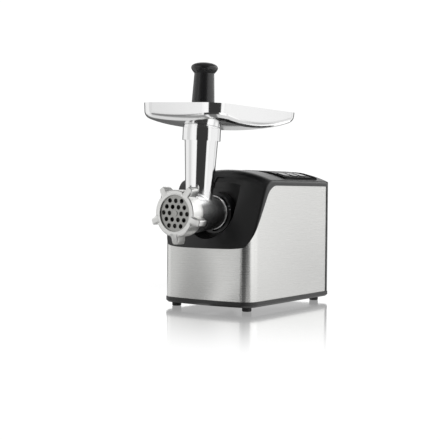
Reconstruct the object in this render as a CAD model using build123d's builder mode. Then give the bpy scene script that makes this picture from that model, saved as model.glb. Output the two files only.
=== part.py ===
"""Electric meat grinder: a steel-wrapped motor housing with a bayonet grinding head, feed tray and pusher.

Millimetres. +Z is up, -Y is the front, where the grinding plate faces, and X runs across the housing.
The origin lies on the table under the middle of the whole machine.
"""
import math
import os

from build123d import *

# Clearances
running_gap = 0.06  # radial, shaft in bush
slip_gap = 0.3  # between pieces that slide or turn past each other
seat_gap = 0.2  # between pieces that are fixed together

# Housing: steel wrap, base and cover
housing_width = 170.0
corner_r = 22.0  # plan radius of the two front corners
front_bow = 9.0  # bulge of the front face between its two sides
front_mid_y = -86.6  # middle of the bowed front face
back_y = 162.9  # rear edge of the steel wrap
steel_t = 1.2
steel_bottom_z = 15.8
steel_front_z = 97.0  # top edge of the steel across the front
steel_top_z = 196.7  # top edge of the steel along the sides
seam_angle = 59.5  # slope of the straight run of the seam between steel and cover
seam_low_r = 10.0
seam_high_r = 35.0
seam_lead = 4.0  # the seam starts to climb this far ahead of the corners
proud = 1.2  # cover and base stand out from the steel by this much
foot_r = 7.5
foot_height = 7.0
foot_edge = 1.0
foot_inset_x = 17.0
foot_inset_front = 15.0
foot_inset_back = 16.0
foot_stem_r = 4.0
foot_stem_head_r = 5.5
foot_stem_head_t = 1.6
base_floor_t = 3.5
base_rim_t = 4.0
base_chamfer = 3.0

# Cover: slanted front, crowned deck, U-shaped recess for the head
cover_wall = 2.6
slant_angle = 66.0  # slope of the cover's front face
deck_mid_z = 222.4
deck_side_z = 204.4
fold_r = 22.0  # rounding where the front face turns into the deck
crease_r = 5.0  # rounding of the edge between the front face, the deck and the side bands
recess_r = 41.5
recess_top = 62.0  # height of the recess above the head axis
rear_cover_t = 4.8
rear_edge_r = 2.0
vent_count = 9
vent_pitch = 9.0
vent_width = 3.0
vent_length = 44.0
vent_z = 150.0
gland_x = -48.0
gland_z = 54.0
gland_r = 9.0
gland_bore_r = 3.6
gland_flange = 2.5
rear_screw_inset = 12.0
rear_screw_r = 1.6
rear_screw_head_r = 3.2
rear_screw_head_t = 2.0
rear_screw_length = 9.0
rear_boss = 11.0  # side of the blocks the screws bite into

# Control panel and its buttons, on the deck's right shoulder
panel_half_width = 77.0
panel_front_y = 33.9
panel_length = 112.0
panel_t = 1.6
panel_proud = 0.5
panel_corner_r = 4.0
button_x = 57.0
button_pitch = 27.0
button_width = 17.0
button_length = 20.0
button_corner_r = 4.0
button_edge_r = 0.8
button_height = 1.4  # above the panel
button_travel = 1.8
button_depth = 5.0  # below the panel's top
button_stem_r = 2.5
board_t = 1.6
board_drop = 12.0  # board's top face below the panel's top
board_width = 26.0
board_length = 92.0
board_post_r = 3.0
switch_size = 6.0
switch_height = 3.5

# Head axis and the pieces along it. Stations w are measured back from the front of the grinding plate.
axis_z = 153.0
plate_y = -159.1
head_roll = 2.5  # the bayonet locks with the throat this many degrees past upright
plate_r = 30.0
plate_t = 5.0
plate_hole_r = 3.6
plate_hole_pitch = 11.0
key_r = 1.5
barrel_lip_w = 0.6  # barrel end stands this far behind the plate's face
barrel_front_r = 32.8
barrel_thread_w = 25.0
barrel_back_r = 26.3
barrel_back_w = 101.0
bead_r = 27.5  # rounded bead at the barrel's rear end
bead_t = 2.4
bead_edge_r = 0.9
knife_chamber_r = 28.6
knife_chamber_w = 14.5
barrel_bore_r = 24.3
barrel_bore_w = 97.0
barrel_wall_w = 104.0
spigot_end_w = 115.0
spigot_bore_r = 23.3
lug_r = 29.3
lug_front_w = 106.5
lug_t = 4.0
lug_span = 30.0  # degrees
lug_entry_play = 4.0  # degrees
lug_count = 3
twist_angle = 45.0
ring_r = 35.8
ring_front_w = -2.7
ring_length = 26.7
ring_opening_r = 27.75
ring_edge_r = 1.8
ring_lug_tip_r = 50.3
ring_lug_tip_width = 9.0
ring_lug_root_width = 15.0
ring_lug_front_w = -1.6
ring_lug_t = 19.0
ring_lug_count = 5
ring_lug_start = 56.0
ring_lug_fillet = 5.0
ring_lug_tip_fillet = 2.6
ring_lug_edge_r = 1.4
ring_lug_sink = 0.3  # the lugs' web lies this far inside the ring

# Throat, tray and pusher. Heights v are measured up the throat from the head axis.
throat_w = 60.0
throat_low_v = 28.0
throat_low_r = 21.7
throat_top_v = 112.6
throat_top_r = 26.05
throat_wall = 3.0
collar_r = 29.8
collar_top_v = 132.0
collar_seat_r = 24.6
collar_seat_depth = 12.0
throat_fillet = 4.0
tray_half_width = 78.6
tray_front = 68.6  # from the throat axis to the front edge
tray_back = 171.2
tray_corner_r = 32.0
tray_depth = 34.7  # rim above the collar
tray_taper = 4.5
tray_turn_r = 12.0  # rounding between the walls and the belly
tray_belly = 25.5  # the belly rises this far over the ellipse given by the next two sizes
tray_belly_half_width = 150.0
tray_belly_half_length = 155.0
tray_belly_power = 2.2
tray_belly_back = 36.0  # the belly is lowest this far behind the throat axis
tray_belly_shares = (0.25, 0.45, 0.65, 0.85, 1.05, 1.3)  # ellipses that draw the belly
tray_belly_lift = 0.4  # lowest part of the belly above the collar
tray_t = 1.5
spout_bore_r = 18.1
spout_seat_r = 28.8
spout_seat_height = 6.0
spout_depth = 11.0
pusher_low_v = 100.0
pusher_low_r = 17.7
pusher_waist_v = 172.0
pusher_waist_r = 17.8
pusher_neck_r = 15.5
pusher_neck_v = 215.6
pusher_neck_fillet = 1.8
knob_r = 20.9
knob_low_v = 218.0
knob_top_v = 233.6
knob_edge_r = 6.4
pusher_wall = 2.8

# Feed screw and knife
auger_core_r = 9.0
auger_flight_gap = 0.6
auger_pitch = 27.0
auger_flight_t = 5.0
auger_start_w = 16.0
auger_end_w = 93.0
auger_pin_r = 4.0
auger_pin_proud = 0.8
auger_square_play = 2.0  # bare length of the square behind the knife
auger_square = 9.0
auger_tail = 10.0  # side of the square tail
knife_front_gap = 0.3
knife_t = 6.0
knife_tip_r = 26.5
knife_hub_r = 9.5
knife_blade_width = 9.0
washer_r = 15.0
washer_t = 2.0

# Socket and release
socket_rim_w = 102.5
socket_wall = 6.4
socket_flange_r = 36.5
socket_flange_t = 4.0
recess_floor_w = 118.0
release_v = 48.0
release_height = 17.0
release_low_half = 12.5
release_high_half = 7.0
release_corner_r = 2.0
release_recess = 2.0  # its face lies this far behind the cover's
release_depth = 6.9  # from the recess's back wall to the plate that holds it
release_plate_t = 1.5
release_plate_edge = 2.0
release_stem_r = 3.2
release_stem_length = 2.5
spring_r = 5.0
spring_wire_r = 0.5
spring_turns = 3

# Drive train
gear_addendum = 0.85  # in modules
gear_dedendum = 1.15
gear_tooth_share = 0.40  # of the pitch, taken up by a tooth
pressure_angle = 20.0
coupling_r = 15.0
coupling_room = 1.5
coupling_front_gap = 1.5  # behind the barrel's end wall
coupling_back_gap = 1.0  # ahead of the gear case
output_shaft_r = 8.0
case_standoff = 13.2  # between the socket's flange and the gear case
case_wall = 4.0
case_cover_t = 4.0
case_gap = 2.0  # between gear tips and case
case_end_gap = 2.5  # behind the motor pinion
bush_wall = 3.0
bush_t = 9.8
output_teeth = 58
output_pinion_teeth = 14
output_module = 1.5
output_gear_t = 12.0
gear_end_play = 0.5  # between a wheel and the bush or boss beside it
input_teeth = 60
motor_pinion_teeth = 12
input_module = 1.0
input_gear_t = 8.0
wheel_gap = 2.2  # between the idler's pinion and its wheel
motor_drop = 60.0  # motor axis below the head axis
idler_shaft_r = 4.0
pinion_extra_t = 1.5  # a pinion is longer than its wheel by this much at each end
case_screw_r = 2.0
case_screw_head_r = 3.8
case_screw_head_t = 2.6
case_screw_length = 16.0
case_screw_angles = (50.0, 110.0, 170.0)
idler_screw_angle = -30.0
case_boss_r = 4.5
socket_post_r = 4.0

# Motor
stator_half_width = 39.0
stator_half_height = 36.0
stator_corner_r = 10.0
stator_length = 50.0
motor_post_r = 4.0
motor_post_inset = 2.0  # from the stator's sides
armature_r = 23.0
air_gap = 0.6
coil_t = 6.0
coil_wall = 3.0  # iron between the bore and the coils
coil_overhang = 8.0
coil_angle = 100.0
coil_slot_play = 1.0  # degrees
pole_angles = (90, 270)
slot_count = 12
slot_depth = 6.0
slot_width = 3.0
armature_inset = 2.0
motor_shaft_r = 4.5
pinion_seat_r = 3.4
commutator_r = 12.0
commutator_gap = 6.0  # behind the coils
commutator_length = 16.0
fan_r = 31.0
fan_hub_r = 10.0
fan_gap = 1.5  # behind the front bearing
fan_coil_gap = 2.5
fan_t = 9.0
fan_disc_t = 1.6
fan_blades = 9
fan_blade_t = 2.0
bearing_r = 10.0
bearing_t = 7.0
frame_gap = 6.0  # behind the commutator
frame_t = 9.0
frame_leg_t = 8.0
frame_leg_height = 16.0
brush_width = 9.0
brush_gap = 0.3
cradle_t = 6.0

# Places worked out from the sizes above
side_x = housing_width / 2
rear_y = back_y + rear_cover_t
sky_z = deck_mid_z + corner_r
front_corner_y = front_mid_y + front_bow
arch_rise = deck_mid_z - deck_side_z
arch_half = side_x + proud
arch_r = (arch_half**2 + arch_rise**2) / (2 * arch_rise)
slant_run = 1 / math.tan(math.radians(slant_angle))
lean = (0, math.cos(math.radians(slant_angle)), math.sin(math.radians(slant_angle)))
seam_start_y = front_corner_y - seam_lead
seam_end_y = seam_start_y + (steel_top_z - steel_front_z) / math.tan(math.radians(seam_angle))
roll_x = (math.cos(math.radians(head_roll)), 0, -math.sin(math.radians(head_roll)))
roll_up = (math.sin(math.radians(head_roll)), 0, math.cos(math.radians(head_roll)))
axis_section = Plane(origin=(0, plate_y, axis_z), x_dir=(1, 0, 0), z_dir=(0, 0, 1))
head_axis = Axis((0, plate_y, axis_z), (0, 1, 0))
throat_base = (0, plate_y + throat_w, axis_z)
throat_section = Plane(origin=throat_base, x_dir=roll_x, z_dir=(0, -1, 0))
throat_axis = Axis(throat_base, roll_up)

# Stations along the drive train, one behind the other
socket_flange_w = recess_floor_w + cover_wall + seat_gap
socket_end_w = socket_flange_w + socket_flange_t
release_plate_w = recess_floor_w + cover_wall + release_depth
case_front_w = socket_end_w + case_standoff
coupling_start_w = barrel_wall_w + coupling_front_gap
coupling_end_w = case_front_w - coupling_back_gap
output_gear_w = case_front_w + bush_t + gear_end_play
input_gear_w = output_gear_w + output_gear_t + pinion_extra_t + wheel_gap
case_back_w = input_gear_w + input_gear_t + pinion_extra_t + case_end_gap
case_cover_end_w = case_back_w + case_cover_t
bearing_end_w = case_back_w + bearing_t
fan_front_w = bearing_end_w + fan_gap
stator_front_w = fan_front_w + fan_t + fan_coil_gap + coil_overhang
stator_back_w = stator_front_w + stator_length
commutator_front_w = stator_back_w + coil_overhang + commutator_gap
frame_w = commutator_front_w + commutator_length + frame_gap

# Gear centres, seen from the front
output_centre = output_module * (output_teeth + output_pinion_teeth) / 2
input_centre = input_module * (input_teeth + motor_pinion_teeth) / 2
idler_v = -(motor_drop**2 + output_centre**2 - input_centre**2) / (2 * motor_drop)
idler_u = math.sqrt(output_centre**2 - idler_v**2)
idler_from_output = math.degrees(math.atan2(idler_v, idler_u))
motor_from_idler = math.degrees(math.atan2(-motor_drop - idler_v, -idler_u))

# Screws of the back panel
rear_face = Plane.XZ.offset(-rear_y)
high_screw_x = side_x - rear_screw_inset
low_screw_x = side_x - foot_inset_x - rear_screw_inset
low_screw_z = steel_bottom_z + rear_screw_inset
boss_y = back_y - rear_boss / 2
screw_spots = [
    (-low_screw_x, low_screw_z),
    (low_screw_x, low_screw_z),
    (-high_screw_x, steel_top_z),
    (high_screw_x, steel_top_z),
]


def front_view(w, u=0.0, v=0.0):
    """Upright plane facing the front, w behind the grinding plate and (u, v) from the head axis."""
    return Plane(origin=(u, plate_y + w, axis_z + v), x_dir=(1, 0, 0), z_dir=(0, -1, 0))


def head_view(w):
    """Plane facing the front and turned with the head, w behind the grinding plate."""
    return Plane(origin=(0, plate_y + w, axis_z), x_dir=roll_x, z_dir=(0, -1, 0))


def throat_view(v):
    """Plane across the throat, v above the head axis, with its Y running to the rear."""
    lift = Vector(*roll_up) * v
    return Plane(origin=Vector(*throat_base) + lift, x_dir=roll_x, z_dir=roll_up)


def housing_outline(grow, rear):
    """Plan of the housing grown by grow: straight back and sides, bowed front, rounded front corners."""
    half = side_x + grow
    corner_y = front_corner_y - grow
    with BuildSketch() as plan:
        with BuildLine():
            ThreePointArc((half, corner_y), (0, front_mid_y - grow), (-half, corner_y))
            Polyline((-half, corner_y), (-half, rear), (half, rear), (half, corner_y))
        make_face()
        fillet(plan.vertices().group_by(Axis.Y)[0], radius=corner_r + grow)
    return plan.sketch


def above_seam(lift, behind):
    """Side view of all above the S-shaped seam between steel and cover, lifted by lift, back as far as behind."""
    low = steel_front_z + lift
    high = steel_top_z + lift
    ahead = front_mid_y - corner_r
    with BuildSketch(Plane.YZ) as region:
        with BuildLine():
            FilletPolyline(
                (ahead, low),
                (seam_start_y, low),
                (seam_end_y, high),
                (behind, high),
                radius=(seam_low_r, seam_high_r),
            )
            Polyline((behind, high), (behind, sky_z), (ahead, sky_z), (ahead, low))
        make_face()
    return region.sketch


def crown(drop):
    """Front view of all that lies under the deck, a shallow arch lowered by drop, wider than the housing."""
    half = arch_half + corner_r
    top_z = deck_mid_z - drop
    edge_z = top_z - arch_r + math.sqrt(arch_r**2 - half**2)
    with BuildSketch(Plane.XZ.offset(-rear_y)) as arch:
        with BuildLine():
            ThreePointArc((half, edge_z), (0, top_z), (-half, edge_z))
            Polyline((-half, edge_z), (-half, 0), (half, 0), (half, edge_z))
        make_face()
    return arch.sketch


def cover_form(inset):
    """The cover's block, inset all round: the housing's plan, cut by the slanted front and by the crown."""
    half = arch_half - inset
    wide = arch_half + corner_r
    start_z = steel_front_z - corner_r
    start_y = -corner_r * slant_run
    rise = (sky_z - start_z) / math.sin(math.radians(slant_angle))
    bow_y = start_y + front_mid_y - proud + inset
    bow_r = (half**2 + front_bow**2) / (2 * front_bow)
    edge_y = bow_y + bow_r - math.sqrt(bow_r**2 - wide**2)
    with BuildPart() as form:
        with BuildSketch(Plane.XY.offset(start_z)):
            add(housing_outline(proud - inset, back_y))
        extrude(amount=sky_z - start_z)
        with BuildSketch(Plane.XY.offset(start_z)):
            with BuildLine():
                ThreePointArc((wide, edge_y), (0, bow_y), (-wide, edge_y))
                Polyline((-wide, edge_y), (-wide, rear_y), (wide, rear_y), (wide, edge_y))
            make_face()
        extrude(amount=rise, dir=lean, mode=Mode.INTERSECT)
        extrude(crown(inset), amount=rear_y - front_mid_y + corner_r, mode=Mode.INTERSECT)
        fold = form.edges().filter_by(lambda e: e.center().Z > deck_side_z - inset - 1)
        fold = fold.filter_by(lambda e: e.center().Y < panel_front_y and abs(e.center().X) < side_x - corner_r)
        fillet(fold, radius=fold_r - inset)
        crease = form.edges().filter_by(lambda e: abs(abs(e.center().X) - half) < crease_r)
        crease = crease.filter_by(lambda e: e.center().Z > steel_front_z + crease_r)
        crease = crease.filter_by(lambda e: e.geom_type != GeomType.LINE or e.center().Z > steel_top_z)
        fillet(crease, radius=crease_r - inset)
    return form.part


def recess_outline(grow, w):
    """Front view of the recess round the socket: half round below, straight sides above."""
    with BuildSketch(front_view(w)) as outline:
        Circle(recess_r + grow)
        with Locations((0, recess_top / 2)):
            Rectangle(2 * (recess_r + grow), recess_top)
    return outline.sketch


def release_outline(grow, w):
    """Front view of the release button, a trapezoid above the socket."""
    low = release_v - release_height / 2 - grow
    high = release_v + release_height / 2 + grow
    with BuildSketch(front_view(w)) as outline:
        Polygon(
            (-release_low_half - grow, low),
            (release_low_half + grow, low),
            (release_high_half + grow, high),
            (-release_high_half - grow, high),
            align=None,
        )
        fillet(outline.vertices(), radius=release_corner_r + grow)
    return outline.sketch


def gear_outline(teeth, module, turn):
    """Straight-flanked spur gear with a tooth centred at the angle turn (degrees)."""
    pitch_r = module * teeth / 2
    tip_r = pitch_r + gear_addendum * module
    root_r = pitch_r - gear_dedendum * module
    half_pitch_tooth = gear_tooth_share * math.pi / teeth
    flank = math.tan(math.radians(pressure_angle) - half_pitch_tooth) * module
    half_tip = half_pitch_tooth - gear_addendum * flank / pitch_r
    half_root = half_pitch_tooth + gear_dedendum * flank / pitch_r
    corners = []
    for tooth in range(teeth):
        middle = math.radians(turn) + tooth * 2 * math.pi / teeth
        for radius, offset_angle in ((root_r, -half_root), (tip_r, -half_tip), (tip_r, half_tip), (root_r, half_root)):
            angle = middle + offset_angle
            corners.append((radius * math.cos(angle), radius * math.sin(angle)))
    return corners


# Base: a shallow moulded pan that carries the steel wrap on its rim
with BuildPart() as base_plate:
    with BuildSketch(Plane.XY.offset(foot_height)):
        add(housing_outline(proud, rear_y))
    extrude(amount=steel_bottom_z - seat_gap - foot_height)
    chamfer(base_plate.faces().sort_by(Axis.Z)[0].edges(), length=base_chamfer)
    with BuildSketch(Plane.XY.offset(foot_height + base_floor_t)):
        add(housing_outline(-base_rim_t, back_y - base_rim_t))
    extrude(amount=steel_bottom_z, mode=Mode.SUBTRACT)
    foot_front_y = front_corner_y + foot_inset_front
    foot_back_y = rear_y - foot_inset_back
    foot_spots = [
        (side, y)
        for side in (side_x - foot_inset_x, foot_inset_x - side_x)
        for y in (foot_front_y, foot_back_y)
    ]
    with Locations(*[(x, y, foot_height) for x, y in foot_spots]):
        Cylinder(foot_stem_r + running_gap, 3 * base_floor_t, mode=Mode.SUBTRACT)
    with BuildSketch(Plane.XY.offset(foot_height)):
        with Locations((-low_screw_x, boss_y), (low_screw_x, boss_y)):
            Rectangle(rear_boss, rear_boss)
    extrude(amount=low_screw_z + rear_boss / 2 - foot_height)
    with BuildSketch(rear_face):
        with Locations(*screw_spots):
            Circle(rear_screw_r + running_gap)
    extrude(amount=rear_boss + rear_cover_t, mode=Mode.SUBTRACT)
base_plate.part.label = "base_plate"

# Feet: rubber buttons pushed through holes in the base
with BuildPart() as rubber_feet:
    stem_top = foot_height + base_floor_t
    for x, y in foot_spots:
        with BuildSketch(Plane(origin=(x, y, 0), x_dir=(1, 0, 0), z_dir=(0, -1, 0))):
            Polygon(
                (0, 0),
                (foot_r - foot_edge, 0),
                (foot_r, foot_edge),
                (foot_r, foot_height),
                (foot_stem_r, foot_height),
                (foot_stem_r, stem_top),
                (foot_stem_head_r, stem_top),
                (foot_stem_r, stem_top + foot_stem_head_t),
                (0, stem_top + foot_stem_head_t),
                align=None,
            )
        revolve(axis=Axis((x, y, 0), (0, 0, 1)))
rubber_feet.part.label = "rubber_feet"

# Steel wrap: one sheet bent round the front, open at the back, cut to the S-shaped seam
with BuildPart() as steel_wrap:
    with BuildSketch(Plane.XY.offset(steel_bottom_z)):
        add(housing_outline(0, back_y))
        add(housing_outline(-steel_t, back_y + corner_r), mode=Mode.SUBTRACT)
    extrude(amount=steel_top_z - steel_bottom_z)
    extrude(above_seam(0, rear_y), amount=housing_width, both=True, mode=Mode.SUBTRACT)
steel_wrap.part.label = "steel_wrap"

# Panel plane: tangent to the deck at the buttons
button_lean = math.asin(button_x / arch_r)
button_z = deck_mid_z - arch_r * (1 - math.cos(button_lean)) + panel_proud * math.cos(button_lean)
button_normal = (math.sin(button_lean), 0, math.cos(button_lean))
button_mid_y = panel_front_y + panel_length / 2
button_top = Plane(origin=(button_x, button_mid_y, button_z), x_dir=(0, 1, 0), z_dir=button_normal)
button_spots = [(-button_pitch, 0), (0, 0), (button_pitch, 0)]
post_spots = [(-board_length / 2 + 2 * board_post_r, 0), (board_length / 2 - 2 * board_post_r, 0)]


def panel_band(grow, low, high):
    """Block of the control panel: a band of the arch from low to high above the deck, grown at its edges."""
    half = panel_half_width + grow
    with BuildPart() as band:
        with BuildSketch(Plane.XY):
            with Locations((0, panel_front_y + panel_length / 2)):
                RectangleRounded(2 * half, panel_length + 2 * grow, panel_corner_r + grow)
        extrude(amount=sky_z)
        extrude(crown(-high), amount=rear_y - front_mid_y, mode=Mode.INTERSECT)
        extrude(crown(-low), amount=rear_y - front_mid_y, mode=Mode.SUBTRACT)
    return band.part


# Room inside the cover, which leaves a wall round the recess
with BuildPart() as cover_room:
    add(cover_form(cover_wall))
    extrude(recess_outline(cover_wall, recess_floor_w + cover_wall), amount=housing_width, mode=Mode.SUBTRACT)

# Bowl of the recess, a wall that closes the cover round the socket
with BuildPart() as recess_bowl:
    add(cover_form(0))
    extrude(recess_outline(cover_wall, recess_floor_w + cover_wall), amount=housing_width, mode=Mode.INTERSECT)

# Cover: slanted front, crowned deck and side bands in one moulding
with BuildPart() as top_cover:
    add(cover_form(0))
    extrude(above_seam(seat_gap, back_y), amount=housing_width, both=True, mode=Mode.INTERSECT)
    add(cover_room.part, mode=Mode.SUBTRACT)
    add(recess_bowl.part)
    extrude(recess_outline(0, recess_floor_w), amount=housing_width, mode=Mode.SUBTRACT)
    socket_outer_r = barrel_back_r + slip_gap + socket_wall
    with BuildSketch(front_view(recess_floor_w + 2 * cover_wall)):
        Circle(socket_outer_r + seat_gap)
    extrude(amount=3 * cover_wall, mode=Mode.SUBTRACT)
    extrude(release_outline(slip_gap, release_plate_w), amount=corner_r, mode=Mode.SUBTRACT)
    add(panel_band(0, -panel_t, corner_r), mode=Mode.SUBTRACT)
    with BuildSketch(button_top):
        with Locations(*button_spots):
            RectangleRounded(button_length + 2 * slip_gap, button_width + 2 * slip_gap, button_corner_r)
    extrude(amount=-board_drop / 2, mode=Mode.SUBTRACT)
    with BuildSketch(button_top.offset(seat_gap - board_drop)):
        with Locations(*post_spots):
            Circle(board_post_r)
    extrude(amount=board_drop - seat_gap - panel_proud - panel_t - cover_wall / 4)
    with BuildSketch(Plane.XY.offset(steel_top_z - rear_boss / 2)):
        with Locations((-high_screw_x, boss_y), (high_screw_x, boss_y)):
            Rectangle(rear_boss, rear_boss)
    extrude(amount=rear_boss + 2 * cover_wall)
    with BuildSketch(rear_face):
        with Locations(*screw_spots):
            Circle(rear_screw_r + running_gap)
    extrude(amount=rear_boss + rear_cover_t, mode=Mode.SUBTRACT)
top_cover.part.label = "top_cover"

# Back panel with its vents, screw holes and the hole for the cord gland
with BuildPart() as rear_cover:
    with BuildSketch(rear_face):
        with BuildLine():
            ThreePointArc((arch_half, deck_side_z), (0, deck_mid_z), (-arch_half, deck_side_z))
            Polyline(
                (-arch_half, deck_side_z),
                (-arch_half, steel_bottom_z),
                (arch_half, steel_bottom_z),
                (arch_half, deck_side_z),
            )
        make_face()
    extrude(amount=rear_cover_t - seat_gap)
    fillet(rear_cover.faces().sort_by(Axis.Y)[-1].edges(), radius=rear_edge_r)
    with BuildSketch(rear_face):
        with Locations((0, vent_z)):
            with GridLocations(vent_pitch, vent_length, vent_count, 1):
                SlotOverall(vent_length, vent_width, rotation=90)
        with Locations((gland_x, gland_z)):
            Circle(gland_r + seat_gap)
        with Locations(*screw_spots):
            Circle(rear_screw_r + running_gap)
    extrude(amount=rear_cover_t, mode=Mode.SUBTRACT)
    with BuildSketch(rear_face):
        with Locations(*screw_spots):
            Circle(rear_screw_head_r + seat_gap)
    extrude(amount=rear_screw_head_t, mode=Mode.SUBTRACT)
rear_cover.part.label = "rear_cover"

# Cord gland: a flanged rubber bush held in the back panel
with BuildPart() as cord_gland:
    with BuildSketch(Plane(origin=(gland_x, rear_y, gland_z), x_dir=(1, 0, 0), z_dir=(0, 0, 1))):
        inner_y = -rear_cover_t - seat_gap
        Polygon(
            (gland_bore_r, 0),
            (gland_r, 0),
            (gland_r, inner_y),
            (gland_r + gland_flange, inner_y),
            (gland_r + gland_flange, inner_y - gland_flange),
            (gland_bore_r, inner_y - gland_flange),
            align=None,
        )
    revolve(axis=Axis((gland_x, rear_y, gland_z), (0, 1, 0)))
cord_gland.part.label = "cord_gland"

# Screws of the back panel, heads flush with its face
with BuildPart() as rear_screws:
    with BuildSketch(rear_face):
        with Locations(*screw_spots):
            Circle(rear_screw_r)
    extrude(amount=rear_screw_length)
    with BuildSketch(rear_face):
        with Locations(*screw_spots):
            Circle(rear_screw_head_r)
    extrude(amount=rear_screw_head_t)
rear_screws.part.label = "rear_screws"

# Control panel: a curved plate let into the deck
with BuildPart() as control_panel:
    add(panel_band(-seat_gap, seat_gap - panel_t, panel_proud))
    with BuildSketch(button_top.offset(panel_t)):
        with Locations(*button_spots):
            RectangleRounded(button_length + 2 * slip_gap, button_width + 2 * slip_gap, button_corner_r)
    extrude(amount=-board_drop / 2, mode=Mode.SUBTRACT)
control_panel.part.label = "control_panel"

# Push buttons, each with a stem that works a switch on the board
button_names = ("reverse_button", "off_button", "on_button")
push_buttons = []
for label, spot in zip(button_names, button_spots):
    with BuildPart() as push_button:
        with BuildSketch(button_top.offset(button_height)):
            with Locations(spot):
                RectangleRounded(button_length, button_width, button_corner_r - slip_gap)
        extrude(amount=-button_height - button_depth)
        fillet(push_button.faces().sort_by(Axis(button_top.origin, button_normal))[-1].edges(), radius=button_edge_r)
        with BuildSketch(button_top.offset(-button_depth)):
            with Locations(spot):
                Circle(button_stem_r)
        extrude(amount=-(board_drop - switch_height - button_depth - button_travel - seat_gap))
    push_button.part.label = label
    push_buttons.append(push_button)

# Switch board on two posts under the deck
with BuildPart() as switch_board:
    with BuildSketch(button_top.offset(-board_drop)):
        Rectangle(board_length, board_width)
    extrude(amount=-board_t)
    with BuildSketch(button_top.offset(-board_drop)):
        with Locations(*button_spots):
            Rectangle(switch_size, switch_size)
    extrude(amount=switch_height)
switch_board.part.label = "switch_board"


def sector(plane, inner, outer, middle, span):
    """Part of a ring from inner to outer radius, span degrees wide about the angle middle."""
    first = math.radians(middle - span / 2)
    last = math.radians(middle + span / 2)
    centre = math.radians(middle)
    with BuildSketch(plane) as wedge:
        with BuildLine():
            corners = [(r * math.cos(a), r * math.sin(a)) for r in (inner, outer) for a in (first, centre, last)]
            ThreePointArc(*corners[:3])
            Line(corners[2], corners[5])
            ThreePointArc(*corners[5:2:-1])
            Line(corners[3], corners[0])
        make_face()
    return wedge.sketch


# Bayonet socket: a ring with a groove and entry slots for the head's lugs
socket_bore_r = barrel_back_r + slip_gap
lug_angles = [90 + 360 / lug_count * i - head_roll for i in range(lug_count)]
with BuildPart() as head_socket:
    with BuildSketch(axis_section):
        Polygon(
            (socket_bore_r, socket_rim_w),
            (socket_outer_r, socket_rim_w),
            (socket_outer_r, socket_flange_w),
            (socket_flange_r, socket_flange_w),
            (socket_flange_r, socket_end_w),
            (coupling_r + coupling_room, socket_end_w),
            (coupling_r + coupling_room, spigot_end_w + slip_gap),
            (socket_bore_r, spigot_end_w + slip_gap),
            align=None,
        )
    revolve(axis=head_axis)
    with BuildSketch(front_view(lug_front_w + lug_t + slip_gap)):
        Circle(lug_r + slip_gap)
    extrude(amount=lug_t + 2 * slip_gap, mode=Mode.SUBTRACT)
    for angle in lug_angles:
        entry_view = front_view(lug_front_w + lug_t / 2)
        entry = sector(entry_view, spigot_bore_r, lug_r + 2 * slip_gap, angle - twist_angle, lug_span + lug_entry_play)
        extrude(entry, amount=lug_t * 2, mode=Mode.SUBTRACT)
head_socket.part.label = "head_socket"

# Head casting: tapered barrel, flared throat with a collar, and bayonet lugs on the spigot
throat_slope = (throat_top_r - throat_low_r) / (throat_top_v - throat_low_v)
throat_zero_r = throat_low_r - throat_low_v * throat_slope
seat_low_v = collar_top_v - collar_seat_depth
seat_low_r = throat_zero_r + throat_slope * seat_low_v - throat_wall
plate_seat_r = plate_r + seat_gap
plate_seat_w = plate_t + seat_gap
with BuildPart() as head_casting:
    with BuildSketch(axis_section) as barrel_half:
        Polygon(
            (0, barrel_lip_w),
            (barrel_front_r, barrel_lip_w),
            (barrel_front_r, barrel_thread_w),
            (barrel_back_r, barrel_back_w - bead_t),
            (bead_r, barrel_back_w - bead_t),
            (bead_r, barrel_back_w),
            (barrel_back_r, barrel_back_w),
            (barrel_back_r, spigot_end_w),
            (0, spigot_end_w),
            align=None,
        )
        bead_corners = [(bead_r, barrel_back_w - bead_t), (bead_r, barrel_back_w)]
        fillet([barrel_half.vertices().sort_by_distance(corner)[0] for corner in bead_corners], radius=bead_edge_r)
    revolve(axis=head_axis)
    with BuildSketch(throat_section):
        Polygon(
            (0, 0),
            (throat_zero_r, 0),
            (throat_top_r, throat_top_v),
            (collar_r, throat_top_v),
            (collar_r, collar_top_v),
            (0, collar_top_v),
            align=None,
        )
    revolve(axis=throat_axis)
    foot_of_throat = head_casting.edges().filter_by(
        lambda e: 0 < e.center().Z - axis_z < barrel_front_r and e.length > throat_low_r
    )
    foot_of_throat = foot_of_throat.filter_by(
        lambda e: abs(e.center().Y - throat_base[1]) < throat_low_r and e.geom_type != GeomType.CIRCLE
    )
    fillet(foot_of_throat, radius=throat_fillet)
    with BuildSketch(axis_section):
        Polygon(
            (0, 0),
            (plate_seat_r, 0),
            (plate_seat_r, plate_seat_w),
            (knife_chamber_r, plate_seat_w),
            (knife_chamber_r, knife_chamber_w),
            (barrel_bore_r, knife_chamber_w),
            (barrel_bore_r, barrel_bore_w),
            (auger_core_r + running_gap, barrel_bore_w),
            (auger_core_r + running_gap, barrel_wall_w),
            (spigot_bore_r, barrel_wall_w),
            (spigot_bore_r, spigot_end_w),
            (0, spigot_end_w),
            align=None,
        )
    revolve(axis=head_axis, mode=Mode.SUBTRACT)
    with BuildSketch(throat_section):
        Polygon(
            (0, 0),
            (throat_zero_r - throat_wall, 0),
            (seat_low_r, seat_low_v),
            (collar_seat_r, seat_low_v),
            (collar_seat_r, collar_top_v),
            (0, collar_top_v),
            align=None,
        )
    revolve(axis=throat_axis, mode=Mode.SUBTRACT)
    for angle in lug_angles:
        lug = sector(front_view(lug_front_w + lug_t), (spigot_bore_r + barrel_back_r) / 2, lug_r, angle, lug_span)
        extrude(lug, amount=lug_t)
    key_w = plate_t / 2 + barrel_lip_w
    key_plane = Plane(origin=(0, plate_y + key_w, axis_z), x_dir=roll_x, z_dir=roll_up)
    with BuildSketch(key_plane):
        Circle(key_r + running_gap)
    extrude(amount=barrel_front_r, mode=Mode.SUBTRACT)
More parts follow.
